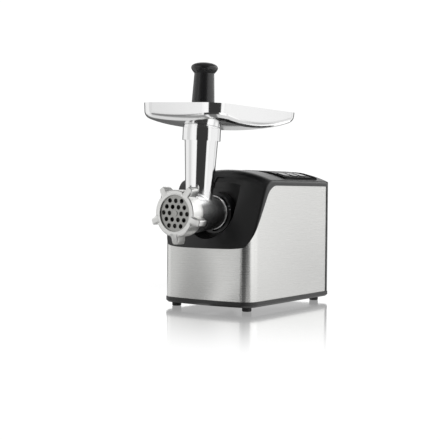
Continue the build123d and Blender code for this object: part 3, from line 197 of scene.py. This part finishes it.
def grid_mesh(name, points, material, body, close_rows=False):
    """Mesh over a grid of points, rows by columns: neighbours are joined by quads, and columns close round.

    The rows may close round too. Points that fall together at a pole are merged, and faces turned outwards.
    """
    rows, columns = points.shape[:2]
    numbers = np.arange(rows * columns).reshape(rows, columns)
    numbers = np.hstack([numbers, numbers[:, :1]])
    if close_rows:
        numbers = np.vstack([numbers, numbers[:1]])
    corners = (numbers[:-1, :-1], numbers[:-1, 1:], numbers[1:, 1:], numbers[1:, :-1])
    quads = np.stack(corners, axis=-1).reshape(-1, 4)
    mesh = bpy.data.meshes.new(name)
    mesh.from_pydata(points.reshape(-1, 3).tolist(), [], quads.tolist())
    shell = bmesh.new()
    shell.from_mesh(mesh)
    bmesh.ops.remove_doubles(shell, verts=shell.verts, dist=weld_distance)
    bmesh.ops.recalc_face_normals(shell, faces=shell.faces)
    shell.to_mesh(mesh)
    shell.free()
    mesh.materials.append(material)
    mesh.shade_smooth()
    mesh.set_sharp_from_angle(angle=crease_angle)
    piece = bpy.data.objects.new(name, mesh)
    bpy.context.scene.collection.objects.link(piece)
    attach(piece, body)
    return piece


zinc_plate = finish(
    "bright zinc plate", {"Base Color": linear("#B9BABB"), "Metallic": 1.0, "Roughness": 0.28},
    marks=fine_marks, gloss_spread=0.06, relief=0.005 * mm,
)
screw_head_r = 3.2 * mm
screw_head_t = 2.0 * mm
screw_crown = 0.5 * mm
screw_shank_r = 1.55 * mm
cross_half = 0.45 * mm
cross_reach = 1.9 * mm
cross_depth = 1.2 * mm
cross_slope = 0.15 * mm
screw_rings = 40
screw_sides = 96
screw_low, screw_high = (np.array(corner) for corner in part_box("rear_screws"))
screw_length = screw_high[1] - screw_low[1]


def screw_surface(centre_x, centre_z):
    """Radius by angle: out over the crowned head, down its rim, in under it and along the shank to its tip.

    The crown falls with the square of the radius. Two crossed slots are pressed into it. Their walls slope
    evenly with the distance from a slot's middle line, and their ends with that from the screw's axis.
    """
    turn = np.linspace(0, 2 * np.pi, screw_sides, endpoint=False)
    r, a = np.meshgrid(np.linspace(0, screw_head_r, screw_rings), turn, indexing="ij")
    off_middle = np.minimum(np.abs(r * np.cos(a)), np.abs(r * np.sin(a)))
    across = np.clip((cross_half - off_middle) / cross_slope, 0, 1)
    inward = np.clip((cross_reach - r) / cross_slope, 0, 1)
    drop = screw_crown * (r / screw_head_r) ** 2 + cross_depth * across * inward
    r_back = np.array([screw_head_r, screw_shank_r, screw_shank_r, 0.0])
    drop_back = np.array([screw_head_t, screw_head_t, screw_length, screw_length])
    r = np.vstack([r, np.repeat(r_back[:, None], turn.size, 1)])
    drop = np.vstack([drop, np.repeat(drop_back[:, None], turn.size, 1)])
    return np.stack([centre_x - r * np.cos(turn), screw_high[1] - drop, centre_z + r * np.sin(turn)], axis=-1)


spots = np.array([v.co for v in nodes["rear_screws"].data.vertices])
side_of = np.sign(spots - (screw_low + screw_high) / 2)
for side, side_name in ((-1, "_left"), (1, "_right")):
    for level, level_name in ((-1, "low"), (1, "high")):
        near = spots[(side_of[:, 0] == side) & (side_of[:, 2] == level)]
        centre = (near.min(0) + near.max(0)) / 2
        surface = screw_surface(centre[0], centre[2])
        screw = grid_mesh("rear_screw_" + level_name + side_name, surface, zinc_plate, "housing")
        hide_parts("rear_screws")

# Control panel: a satin black acrylic plate, bent to the deck's crown and let into it.
# A dull black foam strip round its edge is painted shade for the gap there, and swells towards the sides.
# A thin, pale silver line is screen-printed inside the strip.
panel_grain = 0.5 * mm  # drawn coarser than the real grain, as on the cover
panel_acrylic = finish(
    "satin black acrylic", {"Base Color": linear("#0E0E10"), "Roughness": 0.42, "IOR": 1.40},
    marks=(panel_grain,) * 3, gloss_spread=0.04, relief=0.003 * mm,
)
dress(panel_acrylic, "control_panel")
ink_grain = 0.4 * mm  # drawn coarser than the threads of a printing screen, so that it shows
silver_ink = finish(
    "screen-printed silver ink", {"Base Color": linear("#B4B6B8"), "Roughness": 0.45, "IOR": 1.5},
    marks=(ink_grain,) * 3, gloss_spread=0.08, relief=0.004 * mm,
)
# The foam is near black and dull, so that it paints the shade in the gap round the panel.
gap_shade_cells = 0.6 * mm
gap_shade_foam = finish(
    "painted gap shade foam", {"Base Color": linear("#1A1A1A"), "Roughness": 0.8, "IOR": 1.2},
    marks=(gap_shade_cells,) * 3, gloss_spread=0.04, relief=0.02 * mm,
)
ink_t = 0.05 * mm
line_sink = 0.02 * mm


def printed_line(name, path, normals, width, material, body, closed, rise=ink_t):
    """A line laid on a surface: a box section, as wide and high as the line, carried along a path on it."""
    if closed:
        along = np.roll(path, -1, 0) - np.roll(path, 1, 0)
    else:
        along = np.gradient(path, axis=0)
    along /= np.linalg.norm(along, axis=1, keepdims=True)
    across = np.cross(normals, along) * width / 2
    section = np.stack([
        path - across - line_sink * normals, path + across - line_sink * normals,
        path + across + rise * normals, path - across + rise * normals,
    ], axis=1)
    if not closed:
        ends = [np.repeat(section[i].mean(0)[None, None, :], 4, 1) for i in (0, -1)]
        section = np.concatenate([ends[0], section, ends[1]])
    piece = grid_mesh(name, section, material, body, close_rows=closed)
    return piece


deck_rise = 18.0 * mm
deck_half = 86.2 * mm
crown_r = (deck_half ** 2 + deck_rise ** 2) / (2 * deck_rise)
panel_low, panel_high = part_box("control_panel")
crown_z = panel_high.z - crown_r


def on_crown(x, y):
    """Points and normals on the panel: a cylinder about an axis along Y, its radius under the panel's top."""
    lean = np.arcsin(x / crown_r)
    normals = np.stack([np.sin(lean), np.zeros_like(x), np.cos(lean)], axis=1)
    points = normals * crown_r
    return points + np.stack([np.zeros_like(x), y, np.full_like(x, crown_z)], axis=1), normals


ring_corner_r = 4.0 * mm
corner_steps = 24


def rounded_ring(half_x, half_y):
    """A rectangle with round corners: four quarter turns, each followed by a straight run to the next one."""
    steps = np.linspace(0, 1, corner_steps, endpoint=False)[:, None]
    quadrants = np.array([(1, 1), (-1, 1), (-1, -1), (1, -1), (1, 1)])
    middles = quadrants * (np.array([half_x, half_y]) - ring_corner_r)
    runs = []
    for quarter in range(4):
        turn = np.pi / 2 * (quarter + steps)
        leave = np.pi / 2 * (quarter + 1)
        edge = middles[quarter] + ring_corner_r * np.array([np.cos(leave), np.sin(leave)])
        runs.append(middles[quarter] + ring_corner_r * np.hstack([np.cos(turn), np.sin(turn)]))
        runs.append(edge + steps * (middles[quarter + 1] - middles[quarter]))
    return np.concatenate(runs)


gap_shade_inset = 1.4 * mm
gap_shade_width = 3.2 * mm
gap_shade_rise = 1.8 * mm
border_inset = 6.0 * mm
border_width = 0.8 * mm
lift_start = 24.0 * mm  # the painted gap shade swells from here out to lift_end, on both sides
lift_end = 46.0 * mm
middle_y = (panel_high.y + panel_low.y) / 2
for name, inset, width, rise, material in (
    ("panel_gap_shade", gap_shade_inset, gap_shade_width, gap_shade_rise, gap_shade_foam),
    ("panel_border", border_inset, border_width, ink_t, silver_ink),
):
    ring = rounded_ring(panel_high.x - inset, (panel_high.y - panel_low.y) / 2 - inset)
    path, normals = on_crown(ring[:, 0], middle_y + ring[:, 1])
    lift = np.clip((np.abs(ring[:, :1]) - lift_start) / (lift_end - lift_start), 0, 1)
    printed_line(name, path, normals, width, material, "housing", True, ink_t + (rise - ink_t) * lift)

# Push buttons: three gloss black keys that stand a little proud of the panel.
# Each carries a plain printed sign: a bar for on, a ring for off and a turned arrow for reverse.
key_ripple = 4 * mm
key_abs = finish(
    "gloss black ABS", {"Base Color": linear("#141416"), "Roughness": 0.12, "IOR": 1.53},
    marks=(key_ripple,) * 3, gloss_spread=0.03, relief=0.001 * mm,
)
dress(key_abs, "on_button", "off_button", "reverse_button")
sign_r = 4.4 * mm
sign_width = 1.5 * mm
sign_steps = 40
ring_steps = 48
arrow_start = math.radians(60)
arrow_end = math.radians(345)
arrow_width = 5.0 * mm
arrow_length = 4.2 * mm
arrow_steps = 12
arrow_blunt = 0.02  # share of the arrow's width that is left at its tip
top_margin = 0.05 * mm  # corners of a key less than this under its highest belong to its top face
turn = np.linspace(0, 2 * np.pi, ring_steps, endpoint=False)
swing = np.linspace(arrow_start, arrow_end, sign_steps)
signs = {
    "on": (np.stack([0 * swing, np.linspace(-sign_r, sign_r, sign_steps)], 1), False),
    "off": (sign_r * np.stack([np.cos(turn), np.sin(turn)], 1), True),
    "reverse": (sign_r * np.stack([np.cos(swing), np.sin(swing)], 1), False),
}
along_row = np.array([0, 1, 0])
for key, (flat, closed) in signs.items():
    low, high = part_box(key + "_button")
    lean = math.asin((low.x + high.x) / 2 / crown_r)
    normal = np.array([math.sin(lean), 0, math.cos(lean)])
    uphill = np.array([-math.cos(lean), 0, math.sin(lean)])
    corners = np.array([v.co for v in nodes[key + "_button"].data.vertices])
    heights = corners @ normal
    face = corners[heights > heights.max() - top_margin]
    middle = (face.min(0) + face.max(0)) / 2
    path = middle + flat[:, :1] * along_row + flat[:, 1:] * uphill
    normals = np.repeat(normal[None, :], len(path), 0)
    printed_line(key + "_sign", path, normals, sign_width, silver_ink, key + "_key", closed)
    if key == "reverse":
        tip = np.linspace(0, 1, arrow_steps)[:, None]
        heading = np.array([-math.sin(arrow_end), math.cos(arrow_end)])
        flat = flat[-1] + tip * arrow_length * heading
        path = middle + flat[:, :1] * along_row + flat[:, 1:] * uphill
        widths = arrow_width * (1 + arrow_blunt - tip)
        printed_line("reverse_arrow", path, normals[:arrow_steps], widths, silver_ink, "reverse_key", False)

# Release button: a small black trapezoid above the socket, pressed to let the head turn out.
# A coil of hard-drawn steel wire behind it pushes it back. The real coil shortens against the gear case;
# this one is drawn at its full length and does not move.
dress(satin_abs, "release_button")
spring_wire = finish(
    "hard-drawn spring wire", {"Base Color": linear("#8C8C8A"), "Metallic": 1.0, "Roughness": 0.32},
    marks=fine_marks, gloss_spread=0.06, relief=0.005 * mm,
)
wire_r = 0.5 * mm
wire_sides = 12
coil_turns = 3
coil_steps = 48  # rings of the wire in each turn
spring_low, spring_high = (np.array(corner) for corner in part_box("release_spring"))
spring_middle = (spring_low + spring_high) / 2


def coil_surface():
    """A round wire carried along a helix, whose angle grows evenly with the depth behind the button.

    The wire's section is a circle between the way out from the coil's axis and the way across the wire.
    """
    angle = np.linspace(0, 2 * np.pi * coil_turns, coil_steps * coil_turns + 1)
    coil_r = (spring_high[0] - spring_low[0]) / 2 - wire_r
    outward = np.stack([np.cos(angle), 0 * angle, np.sin(angle)], 1)
    centres = spring_middle + coil_r * outward
    centres[:, 1] = np.linspace(spring_low[1] + wire_r, spring_high[1] - wire_r, angle.size)
    along = np.gradient(centres, axis=0)
    across = np.cross(along / np.linalg.norm(along, axis=1, keepdims=True), outward)
    turn = np.linspace(0, 2 * np.pi, wire_sides, endpoint=False)
    wire = np.cos(turn)[:, None] * outward[:, None, :] + np.sin(turn)[:, None] * across[:, None, :]
    ends = [np.repeat(centres[i][None, None, :], wire_sides, 1) for i in (0, -1)]
    return np.concatenate([ends[0], centres[:, None, :] + wire_r * wire, ends[1]])


coil = grid_mesh("release_coil", coil_surface(), spring_wire, "housing")
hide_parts("release_spring")
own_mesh(coil)

# Head socket: a glossy moulded nylon ring with bayonet slots, screwed in behind the cover.
# Silver marks printed on its rim show where the head goes in and where it locks.
socket_grain = 0.6 * mm  # drawn coarser than the real grain, as on the base
socket_nylon = finish(
    "black moulded nylon", {"Base Color": linear("#242425"), "Roughness": 0.30, "IOR": 1.53},
    marks=(socket_grain,) * 3, gloss_spread=0.04, relief=0.005 * mm,
)
dress(socket_nylon, "head_socket")
head_axis_z = 153.0 * mm
socket_face_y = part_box("head_socket")[0].y
mark_start = 29.8 * mm
mark_end = 32.6 * mm
mark_width = 1.1 * mm
mark_steps = 6
lock_angle = math.radians(9.6)
open_angle = math.radians(20.0)
for name, angle in (("lock", lock_angle), ("open", open_angle)):
    out = np.linspace(mark_start, mark_end, mark_steps)
    path = np.stack([out * math.cos(angle), 0 * out + socket_face_y, head_axis_z + out * math.sin(angle)], 1)
    normals = np.repeat(np.array([[0.0, -1.0, 0.0]]), mark_steps, 0)
    printed_line("socket_mark_" + name, path, normals, mark_width, silver_ink, "housing", False)

# Grinding head: barrel and feed throat cast in one piece of aluminium.
# The throat is buffed to a mirror, and the barrel below it keeps the softer sheen of bead blasting.
buffing_ripple = 6 * mm
blasted_roughness = 0.26
buffed_roughness = 0.07
blasted_below = 183 * mm
buffed_above = 192 * mm
buffed_cast = finish(
    "buffed cast aluminium", {"Base Color": linear("#EDEDED"), "Metallic": 1.0, "Roughness": 0.08},
    marks=(buffing_ripple,) * 3, gloss_spread=0.03, relief=0.002 * mm,
)
tree = buffed_cast.node_tree
place = add_node(tree, "ShaderNodeTexCoord")
axes = add_node(tree, "ShaderNodeSeparateXYZ", links={"Vector": place.outputs["Object"]})
# An even step from blasted to buffed takes the place of the noise in the gloss.
sheen = add_node(
    tree, "ShaderNodeMapRange",
    {"From Min": blasted_below, "From Max": buffed_above,
     "To Min": blasted_roughness, "To Max": buffed_roughness},
    {"Value": axes.outputs["Z"]},
)
tree.links.new(sheen.outputs["Result"], tree.nodes["Principled BSDF"].inputs["Roughness"])
dress(buffed_cast, "head_casting")

# Feed screw: cast in aluminium like the barrel, with a helical flight and a square nose that turns the knife.
# It is tumbled with stones after casting, which leaves a soft, even sheen.
tumbling_marks = (1.5 * mm,) * 3
tumbled_cast = finish(
    "tumbled cast aluminium", {"Base Color": linear("#B4B4B1"), "Metallic": 1.0, "Roughness": 0.42},
    marks=tumbling_marks, gloss_spread=0.06, relief=0.02 * mm,
)
dress(tumbled_cast, "auger")

# Knife and plate: tool steel, hardened and ground flat so that they cut between them.
# Grinding leaves fine straight lines across the faces, and the plate is kept from turning by its key.
grinding_lines = (0.5 * mm, 20 * mm, 12 * mm)
ground_steel = finish(
    "ground tool steel", {"Base Color": linear("#A9A9A6"), "Metallic": 1.0, "Roughness": 0.36},
    marks=grinding_lines, gloss_spread=0.08, relief=0.006 * mm,
)
dress(ground_steel, "grinding_plate", "knife", "plate_key")

# Ring nut: cast in aluminium with five lugs for the fingers, tumbled, and turned bright round its side.
# It screws onto the barrel and clamps the plate, so the lugs are short, round-tipped and flared at the root.
cast_grain = (0.8 * mm,) * 3
satin_cast = finish(
    "turned and tumbled cast aluminium",
    {"Base Color": linear("#E4E4E2"), "Metallic": 1.0, "Roughness": 0.30},
    marks=cast_grain, gloss_spread=0.06, relief=0.008 * mm,
)
ring_low, ring_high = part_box("ring_nut")
ring_r = 35.8 * mm
ring_opening_r = 27.75 * mm
ring_bore_r = 33.1 * mm
ring_lip_t = 2.4 * mm
ring_edge_r = 1.8 * mm
lip_edge = 0.8 * mm
lip_edge_mid = 0.2 * mm
lug_tip_r = 47.2 * mm
lug_length = 18.5 * mm
lug_count = 5
lug_first = math.radians(53.6)
lug_tip_half = math.radians(4.0)
lug_root_half = math.radians(12.5)
lug_setback = 2.5 * mm
lug_step = 0.35  # share of a lug's height over which its face steps back
ring_sides = 900
edge_steps = 7


def ring_surface():
    """A section carried round the head axis: lip, face, rounded edge, side, back and bore.

    The outer radius swells into the lugs. Across each flank the swell is a smooth step in the angle from the
    lug's middle, and behind the lugs it falls back to the plain ring. A lug's face lies behind the ring's.
    """
    turn = np.linspace(0, 2 * np.pi, ring_sides, endpoint=False)
    pitch = 2 * np.pi / lug_count
    off = np.abs((turn - lug_first + pitch / 2) % pitch - pitch / 2)
    flank = np.clip((lug_root_half - off) / (lug_root_half - lug_tip_half), 0, 1)
    swell = flank * flank * (3 - 2 * flank)
    length = ring_high.y - ring_low.y
    e = ring_edge_r
    arc = np.linspace(0, np.pi / 2, edge_steps)
    # Each row is the plain ring's radius, the share of the lugs' swell, and the depth behind the face.
    rows = [(ring_opening_r, 0, ring_lip_t), (ring_opening_r, 0, lip_edge),
            (ring_opening_r + lip_edge_mid, 0, lip_edge_mid), (ring_opening_r + lip_edge, 0, 0),
            (ring_r - 2 * e, 0, 0), (ring_r - 1.3 * e, 0.6, 0)]
    rows += [(ring_r - e + e * math.sin(a), 1, e - e * math.cos(a)) for a in arc]
    rows += [(ring_r, 1, lug_length - e), (ring_r, 0.97, lug_length - 0.4 * e), (ring_r, 0.88, lug_length),
             (ring_r, 0.1, lug_length + 0.1 * mm), (ring_r, 0, lug_length + 0.6 * mm)]
    rows += [(ring_r - e + e * math.cos(a), 0, length - e + e * math.sin(a)) for a in arc]
    rows += [(ring_bore_r, 0, length), (ring_bore_r, 0, ring_lip_t)]
    base, share, depth = (np.array(column)[:, None] for column in zip(*rows))
    r = base + share * swell * (lug_tip_r - ring_r)
    y = ring_low.y + depth + share * np.clip(swell / lug_step, 0, 1) * lug_setback
    return np.stack([r * np.cos(turn), y, head_axis_z + r * np.sin(turn)], axis=-1)


ring = grid_mesh("ring_nut_cast", ring_surface(), satin_cast, "ring", close_rows=True)
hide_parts("ring_nut")

# Feed tray: pressed from aluminium sheet, with a spout that stands in the throat's collar.
# It is polished inside and out, and a faint ripple left by pressing makes reflections waver a little.
pressing_ripple = (15 * mm,) * 3
polished_sheet = finish(
    "polished aluminium sheet", {"Base Color": linear("#F0F0F0"), "Metallic": 1.0, "Roughness": 0.10},
    marks=pressing_ripple, gloss_spread=0.03, relief=0.004 * mm,
)
dress(polished_sheet, "tray")

# Pusher: a hollow black ABS plunger with a round knob, from a polished mould, smooth and a little shiny.
# It stands loose in the tray's spout and is lifted out by its knob.
mould_ripple = (8 * mm,) * 3
smooth_abs = finish(
    "smooth black ABS", {"Base Color": linear("#2A2A2B"), "Roughness": 0.30, "IOR": 1.5},
    marks=mould_ripple, gloss_spread=0.02, relief=0.001 * mm,
)
throat_lean = math.radians(2.5)
throat_y = -99.1 * mm
pusher_wall = 2.8 * mm
pusher_low, pusher_waist, pusher_neck, pusher_top = (v * mm for v in (100.0, 172.0, 216.6, 233.6))
skirt_edge = 0.6 * mm
waist_r = 17.75 * mm
neck_r = 15.5 * mm
knob_r = 20.9 * mm
knob_mid = 225.2 * mm
flare_power = 1.6
dome_power = 2.2
pusher_sides = 128
flare_steps = 14
dome_steps = 24
taper_steps = 12


def pusher_surface():
    """A profile turned round the throat's axis: the hollow inside, skirt, taper to the neck, knob and dome.

    Below its middle the knob swells from the neck by one less the way down raised to flare_power. Above, it
    closes in a superellipse of power dome_power.
    """
    hollow_v = pusher_neck - pusher_wall
    hollow = np.array([(0, hollow_v), (neck_r - pusher_wall, hollow_v)])
    skirt = np.array([
        (waist_r - pusher_wall, pusher_low), (waist_r - skirt_edge, pusher_low),
        (waist_r, pusher_low + skirt_edge),
    ])
    up = np.linspace(0, 1, taper_steps)[:-1]
    taper = np.stack([waist_r + (neck_r - waist_r) * up, pusher_waist + (pusher_neck - pusher_waist) * up], 1)
    down = np.linspace(1, 0, flare_steps)
    swell = neck_r + (knob_r - neck_r) * (1 - down ** flare_power)
    flare = np.stack([swell, knob_mid - down * (knob_mid - pusher_neck)], 1)
    rise = np.sin(np.linspace(0, np.pi / 2, dome_steps))[1:]
    closing = knob_r * (1 - rise ** dome_power) ** (1 / dome_power)
    dome = np.stack([closing, knob_mid + rise * (pusher_top - knob_mid)], 1)
    r, v = np.concatenate([hollow, skirt, taper, flare, dome]).T[..., None]
    turn = np.linspace(0, 2 * np.pi, pusher_sides, endpoint=False)
    out = r * np.cos(turn)
    x = out * math.cos(throat_lean) + v * math.sin(throat_lean)
    z = head_axis_z - out * math.sin(throat_lean) + v * math.cos(throat_lean)
    return np.stack([x, throat_y + r * np.sin(turn), z], axis=-1)


plunger = grid_mesh("pusher_moulding", pusher_surface(), smooth_abs, "plunger")
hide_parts("pusher")

# Studio: a sheet of white acrylic lit from beneath, inside a white dome with the dark room behind the camera.
# Polished metal shows the dark room as an upright charcoal strip, and two dark flags as lines at its edges.
bpy.context.scene.view_settings.view_transform = "Standard"
camera_azimuth = math.radians(34.281)
camera_elevation = math.radians(1.642)
camera_roll = math.radians(0.465)
camera_place = Vector((0.9081, -1.3710, 0.1869))
focal_px = 1000.0
photo_px = 440.0
sensor_mm = 36.0
back = Vector((
    math.sin(camera_azimuth) * math.cos(camera_elevation),
    -math.cos(camera_azimuth) * math.cos(camera_elevation),
    math.sin(camera_elevation),
))
level_right = Vector((math.cos(camera_azimuth), math.sin(camera_azimuth), 0.0))
level_up = back.cross(level_right)
right = math.cos(camera_roll) * level_right + math.sin(camera_roll) * level_up
up = math.cos(camera_roll) * level_up - math.sin(camera_roll) * level_right
lens = bpy.data.cameras.new("photo_camera")
lens.sensor_width = sensor_mm
lens.lens = focal_px / photo_px * sensor_mm
camera = bpy.data.objects.new("photo_camera", lens)
camera.matrix_world = Matrix((
    (right.x, up.x, back.x, camera_place.x),
    (right.y, up.y, back.y, camera_place.y),
    (right.z, up.z, back.z, camera_place.z),
    (0.0, 0.0, 0.0, 1.0),
))
bpy.context.scene.collection.objects.link(camera)
bpy.context.scene.camera = camera


def light_round(tree, places, levels, strength):
    """Brightness by bearing: a colour ramp over these places' angle round from the camera, to its right."""
    turned = add_node(
        tree, "ShaderNodeMapping", {"Rotation": (0.0, 0.0, -camera_azimuth)}, {"Vector": places}
    )
    axes = add_node(tree, "ShaderNodeSeparateXYZ", links={"Vector": turned.outputs["Vector"]})
    towards = add_node(tree, "ShaderNodeMath", {"operation": "MULTIPLY", 1: -1.0}, {0: axes.outputs["Y"]})
    bearing = add_node(
        tree, "ShaderNodeMath", {"operation": "ARCTAN2"}, {0: axes.outputs["X"], 1: towards.outputs[0]}
    )
    share = add_node(
        tree, "ShaderNodeMapRange", {"From Min": -math.pi, "From Max": math.pi}, {"Value": bearing.outputs[0]}
    )
    ramp = add_node(tree, "ShaderNodeValToRGB", links={"Fac": share.outputs["Result"]})
    stops = ramp.color_ramp.elements
    while len(stops) < len(levels):
        stops.new(0.5)
    for stop, (degrees, level) in zip(stops, levels):
        stop.position = (degrees + 180) / 360
        stop.color = (level / strength,) * 3 + (1.0,)
    return ramp.outputs["Color"]


white_level = 1.05  # a little over full, so that sheet and backdrop come out plain white
table_r = 0.95
table_sides = 96
table_roughness = 0.10
acrylic_ior = 1.45
skim_power = 0.5  # under one, which strengthens the mirror image in the sheet
gloss_reach = 0.45  # the sheet is glossy round the machine and turns plain white over this distance
turn = np.linspace(0, 2 * np.pi, table_sides, endpoint=False)
rim = table_r * np.stack([np.cos(turn), np.sin(turn), 0 * turn], 1)
floor_mesh = bpy.data.meshes.new("table_top")
floor_mesh.from_pydata(rim.tolist(), [], [tuple(range(table_sides))])
table_top = bpy.data.objects.new("table_top", floor_mesh)
bpy.context.scene.collection.objects.link(table_top)
lit_acrylic = bpy.data.materials.new("lit white acrylic")
lit_acrylic.use_nodes = True
tree = lit_acrylic.node_tree
tree.nodes.remove(tree.nodes["Principled BSDF"])
plain_white = add_node(tree, "ShaderNodeEmission", {"Color": linear("#FFFFFF"), "Strength": white_level})
gloss = add_node(tree, "ShaderNodeBsdfGlossy", {"Color": linear("#FFFFFF"), "Roughness": table_roughness})
place = add_node(tree, "ShaderNodeTexCoord")
base_low, base_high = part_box("base_plate")
to_middle = add_node(
    tree, "ShaderNodeVectorMath", {"operation": "SUBTRACT", 1: (base_low + base_high) / 2},
    {0: place.outputs["Object"]},
)
from_middle = add_node(
    tree, "ShaderNodeVectorMath", {"operation": "ABSOLUTE"}, {0: to_middle.outputs["Vector"]}
)
past_edge = add_node(
    tree, "ShaderNodeVectorMath", {"operation": "SUBTRACT", 1: (base_high - base_low) / 2},
    {0: from_middle.outputs["Vector"]},
)
outside = add_node(
    tree, "ShaderNodeVectorMath", {"operation": "MAXIMUM", 1: (0.0, 0.0, 0.0)},
    {0: past_edge.outputs["Vector"]},
)
reach = add_node(tree, "ShaderNodeVectorMath", {"operation": "LENGTH"}, {0: outside.outputs["Vector"]})
near = add_node(
    tree, "ShaderNodeMapRange",
    {"interpolation_type": "SMOOTHSTEP", "From Min": 0.0, "From Max": gloss_reach,
     "To Min": 1.0, "To Max": 0.0},
    {"Value": reach.outputs["Value"]},
)
skim = add_node(tree, "ShaderNodeFresnel", {"IOR": acrylic_ior})
skim_share = add_node(tree, "ShaderNodeMath", {"operation": "POWER", 1: skim_power}, {0: skim.outputs["Fac"]})
share = add_node(
    tree, "ShaderNodeMath", {"operation": "MULTIPLY"}, {0: near.outputs["Result"], 1: skim_share.outputs[0]}
)
blend = add_node(
    tree, "ShaderNodeMixShader", links={0: share.outputs[0], 1: plain_white.outputs[0], 2: gloss.outputs[0]}
)
# In reflections the sheet is as bright as the light that falls on each side of it, far off and close by.
# Each pair is degrees round from the camera, to its right, and a brightness.
table_levels = (
    (-180, 0.32), (-173, 0.20), (-155, 0.16), (-132, 0.30), (-118, 0.9), (-100, 0.9), (-88, 0.78),
    (-78, 0.25), (-66, 0.25), (-58, 1.0), (-53, 1.1), (-49, 0.05), (20, 0.05), (26, 1.4), (58, 1.3),
    (70, 0.85), (84, 1.15), (95, 1.2), (104, 1.1), (112, 0.60), (120, 0.50), (126, 1.4), (144, 1.4),
    (150, 0.55), (166, 0.70), (175, 0.55), (180, 0.32),
)
near_levels = (
    (-180, 0.70), (-100, 0.78), (-84, 0.78), (-72, 0.35), (-50, 0.30), (-41, 0.85), (-31, 1.0),
    (-26, 0.20), (4, 0.20), (10, 0.70), (80, 0.80), (112, 0.75), (120, 0.75), (127, 1.4), (142, 1.4),
    (150, 0.70),
)
table_strength = 1.4
near_end = 0.28
far_start = 0.40
lit_side = light_round(tree, place.outputs["Object"], table_levels, table_strength)
lit_near = light_round(tree, place.outputs["Object"], near_levels, table_strength)
away = add_node(
    tree, "ShaderNodeMapRange", {"From Min": near_end, "From Max": far_start},
    {"Value": reach.outputs["Value"]},
)
lit_sheet = add_node(
    tree, "ShaderNodeMix", {"data_type": "RGBA"}, {0: away.outputs["Result"], 6: lit_near, 7: lit_side}
)
dim_white = add_node(
    tree, "ShaderNodeEmission", {"Strength": table_strength}, {"Color": lit_sheet.outputs[2]}
)
ray = add_node(tree, "ShaderNodeLightPath")
seen = add_node(
    tree, "ShaderNodeMixShader",
    links={0: ray.outputs["Is Camera Ray"], 1: dim_white.outputs[0], 2: blend.outputs[0]},
)
tree.links.new(seen.outputs[0], tree.nodes["Material Output"].inputs["Surface"])
floor_mesh.materials.append(lit_acrylic)

# The dome's brightness in the same pairs: its walls, and its skirt from the horizon down.
wall_levels = (
    (-180, 1.15), (-166, 1.15), (-160, 0.3), (-146, 0.3), (-140, 1.0), (-102, 1.0), (-92, 0.79),
    (-76, 0.75), (-70, 0.60), (-63, 0.70), (-56, 1.2), (-51, 1.2), (-47, 0.06), (38, 0.06), (42, 1.1),
    (56, 1.6), (70, 1.8), (100, 1.8), (112, 1.5), (116, 1.0), (121, 0.9), (126, 2.4), (138, 2.4),
    (141, 1.2), (146, 0.3), (160, 0.3), (166, 1.15), (180, 1.15),
)
low_levels = (
    (-180, 0.15), (-170, 0.12), (-160, 0.09), (-146, 0.09), (-138, 0.9), (-102, 1.0), (-92, 0.79),
    (-74, 0.80), (-72.2, 0.85), (-70, 0.99), (-50, 1.1), (-32, 1.1), (-28, 0.042), (38, 0.042), (42, 1.1),
    (56, 1.1), (62, 0.98), (72, 1.02), (113, 1.02), (115.3, 1.0), (117.5, 0.78), (121, 0.80), (126, 1.0),
    (136, 1.02), (146, 0.09), (158, 0.12), (168, 0.72), (180, 0.52),
)
dome_strength = 2.4
ceiling_level = 0.28
ceiling_low = math.radians(28)
ceiling_high = math.radians(45)
skirt_low = math.radians(3.0)
skirt_high = math.radians(6.0)
world = bpy.data.worlds.new("white_dome")
bpy.context.scene.world = world
world.use_nodes = True
tree = world.node_tree
place = add_node(tree, "ShaderNodeTexCoord")
walls = light_round(tree, place.outputs["Generated"], wall_levels, dome_strength)
skirts = light_round(tree, place.outputs["Generated"], low_levels, dome_strength)
axes = add_node(tree, "ShaderNodeSeparateXYZ", links={"Vector": place.outputs["Generated"]})
height = add_node(tree, "ShaderNodeMath", {"operation": "ARCSINE"}, {0: axes.outputs["Z"]})
overhead = add_node(
    tree, "ShaderNodeMapRange",
    {"interpolation_type": "SMOOTHSTEP", "From Min": ceiling_low, "From Max": ceiling_high},
    {"Value": height.outputs[0]},
)
above = add_node(
    tree, "ShaderNodeMapRange", {"From Min": skirt_low, "From Max": skirt_high}, {"Value": height.outputs[0]}
)
sides = add_node(
    tree, "ShaderNodeMix", {"data_type": "RGBA"}, {0: above.outputs["Result"], 6: skirts, 7: walls}
)
room = add_node(
    tree, "ShaderNodeMix", {"data_type": "RGBA", 7: (ceiling_level / dome_strength,) * 3 + (1.0,)},
    {0: overhead.outputs["Result"], 6: sides.outputs[2]},
)
dome = tree.nodes["Background"]
dome.inputs["Strength"].default_value = dome_strength
tree.links.new(room.outputs[2], dome.inputs["Color"])
backdrop = add_node(tree, "ShaderNodeBackground", {"Color": linear("#FFFFFF"), "Strength": white_level})
ray = add_node(tree, "ShaderNodeLightPath")
seen = add_node(
    tree, "ShaderNodeMixShader",
    links={0: ray.outputs["Is Camera Ray"], 1: dome.outputs[0], 2: backdrop.outputs[0]},
)
tree.links.new(seen.outputs[0], tree.nodes["World Output"].inputs["Surface"])
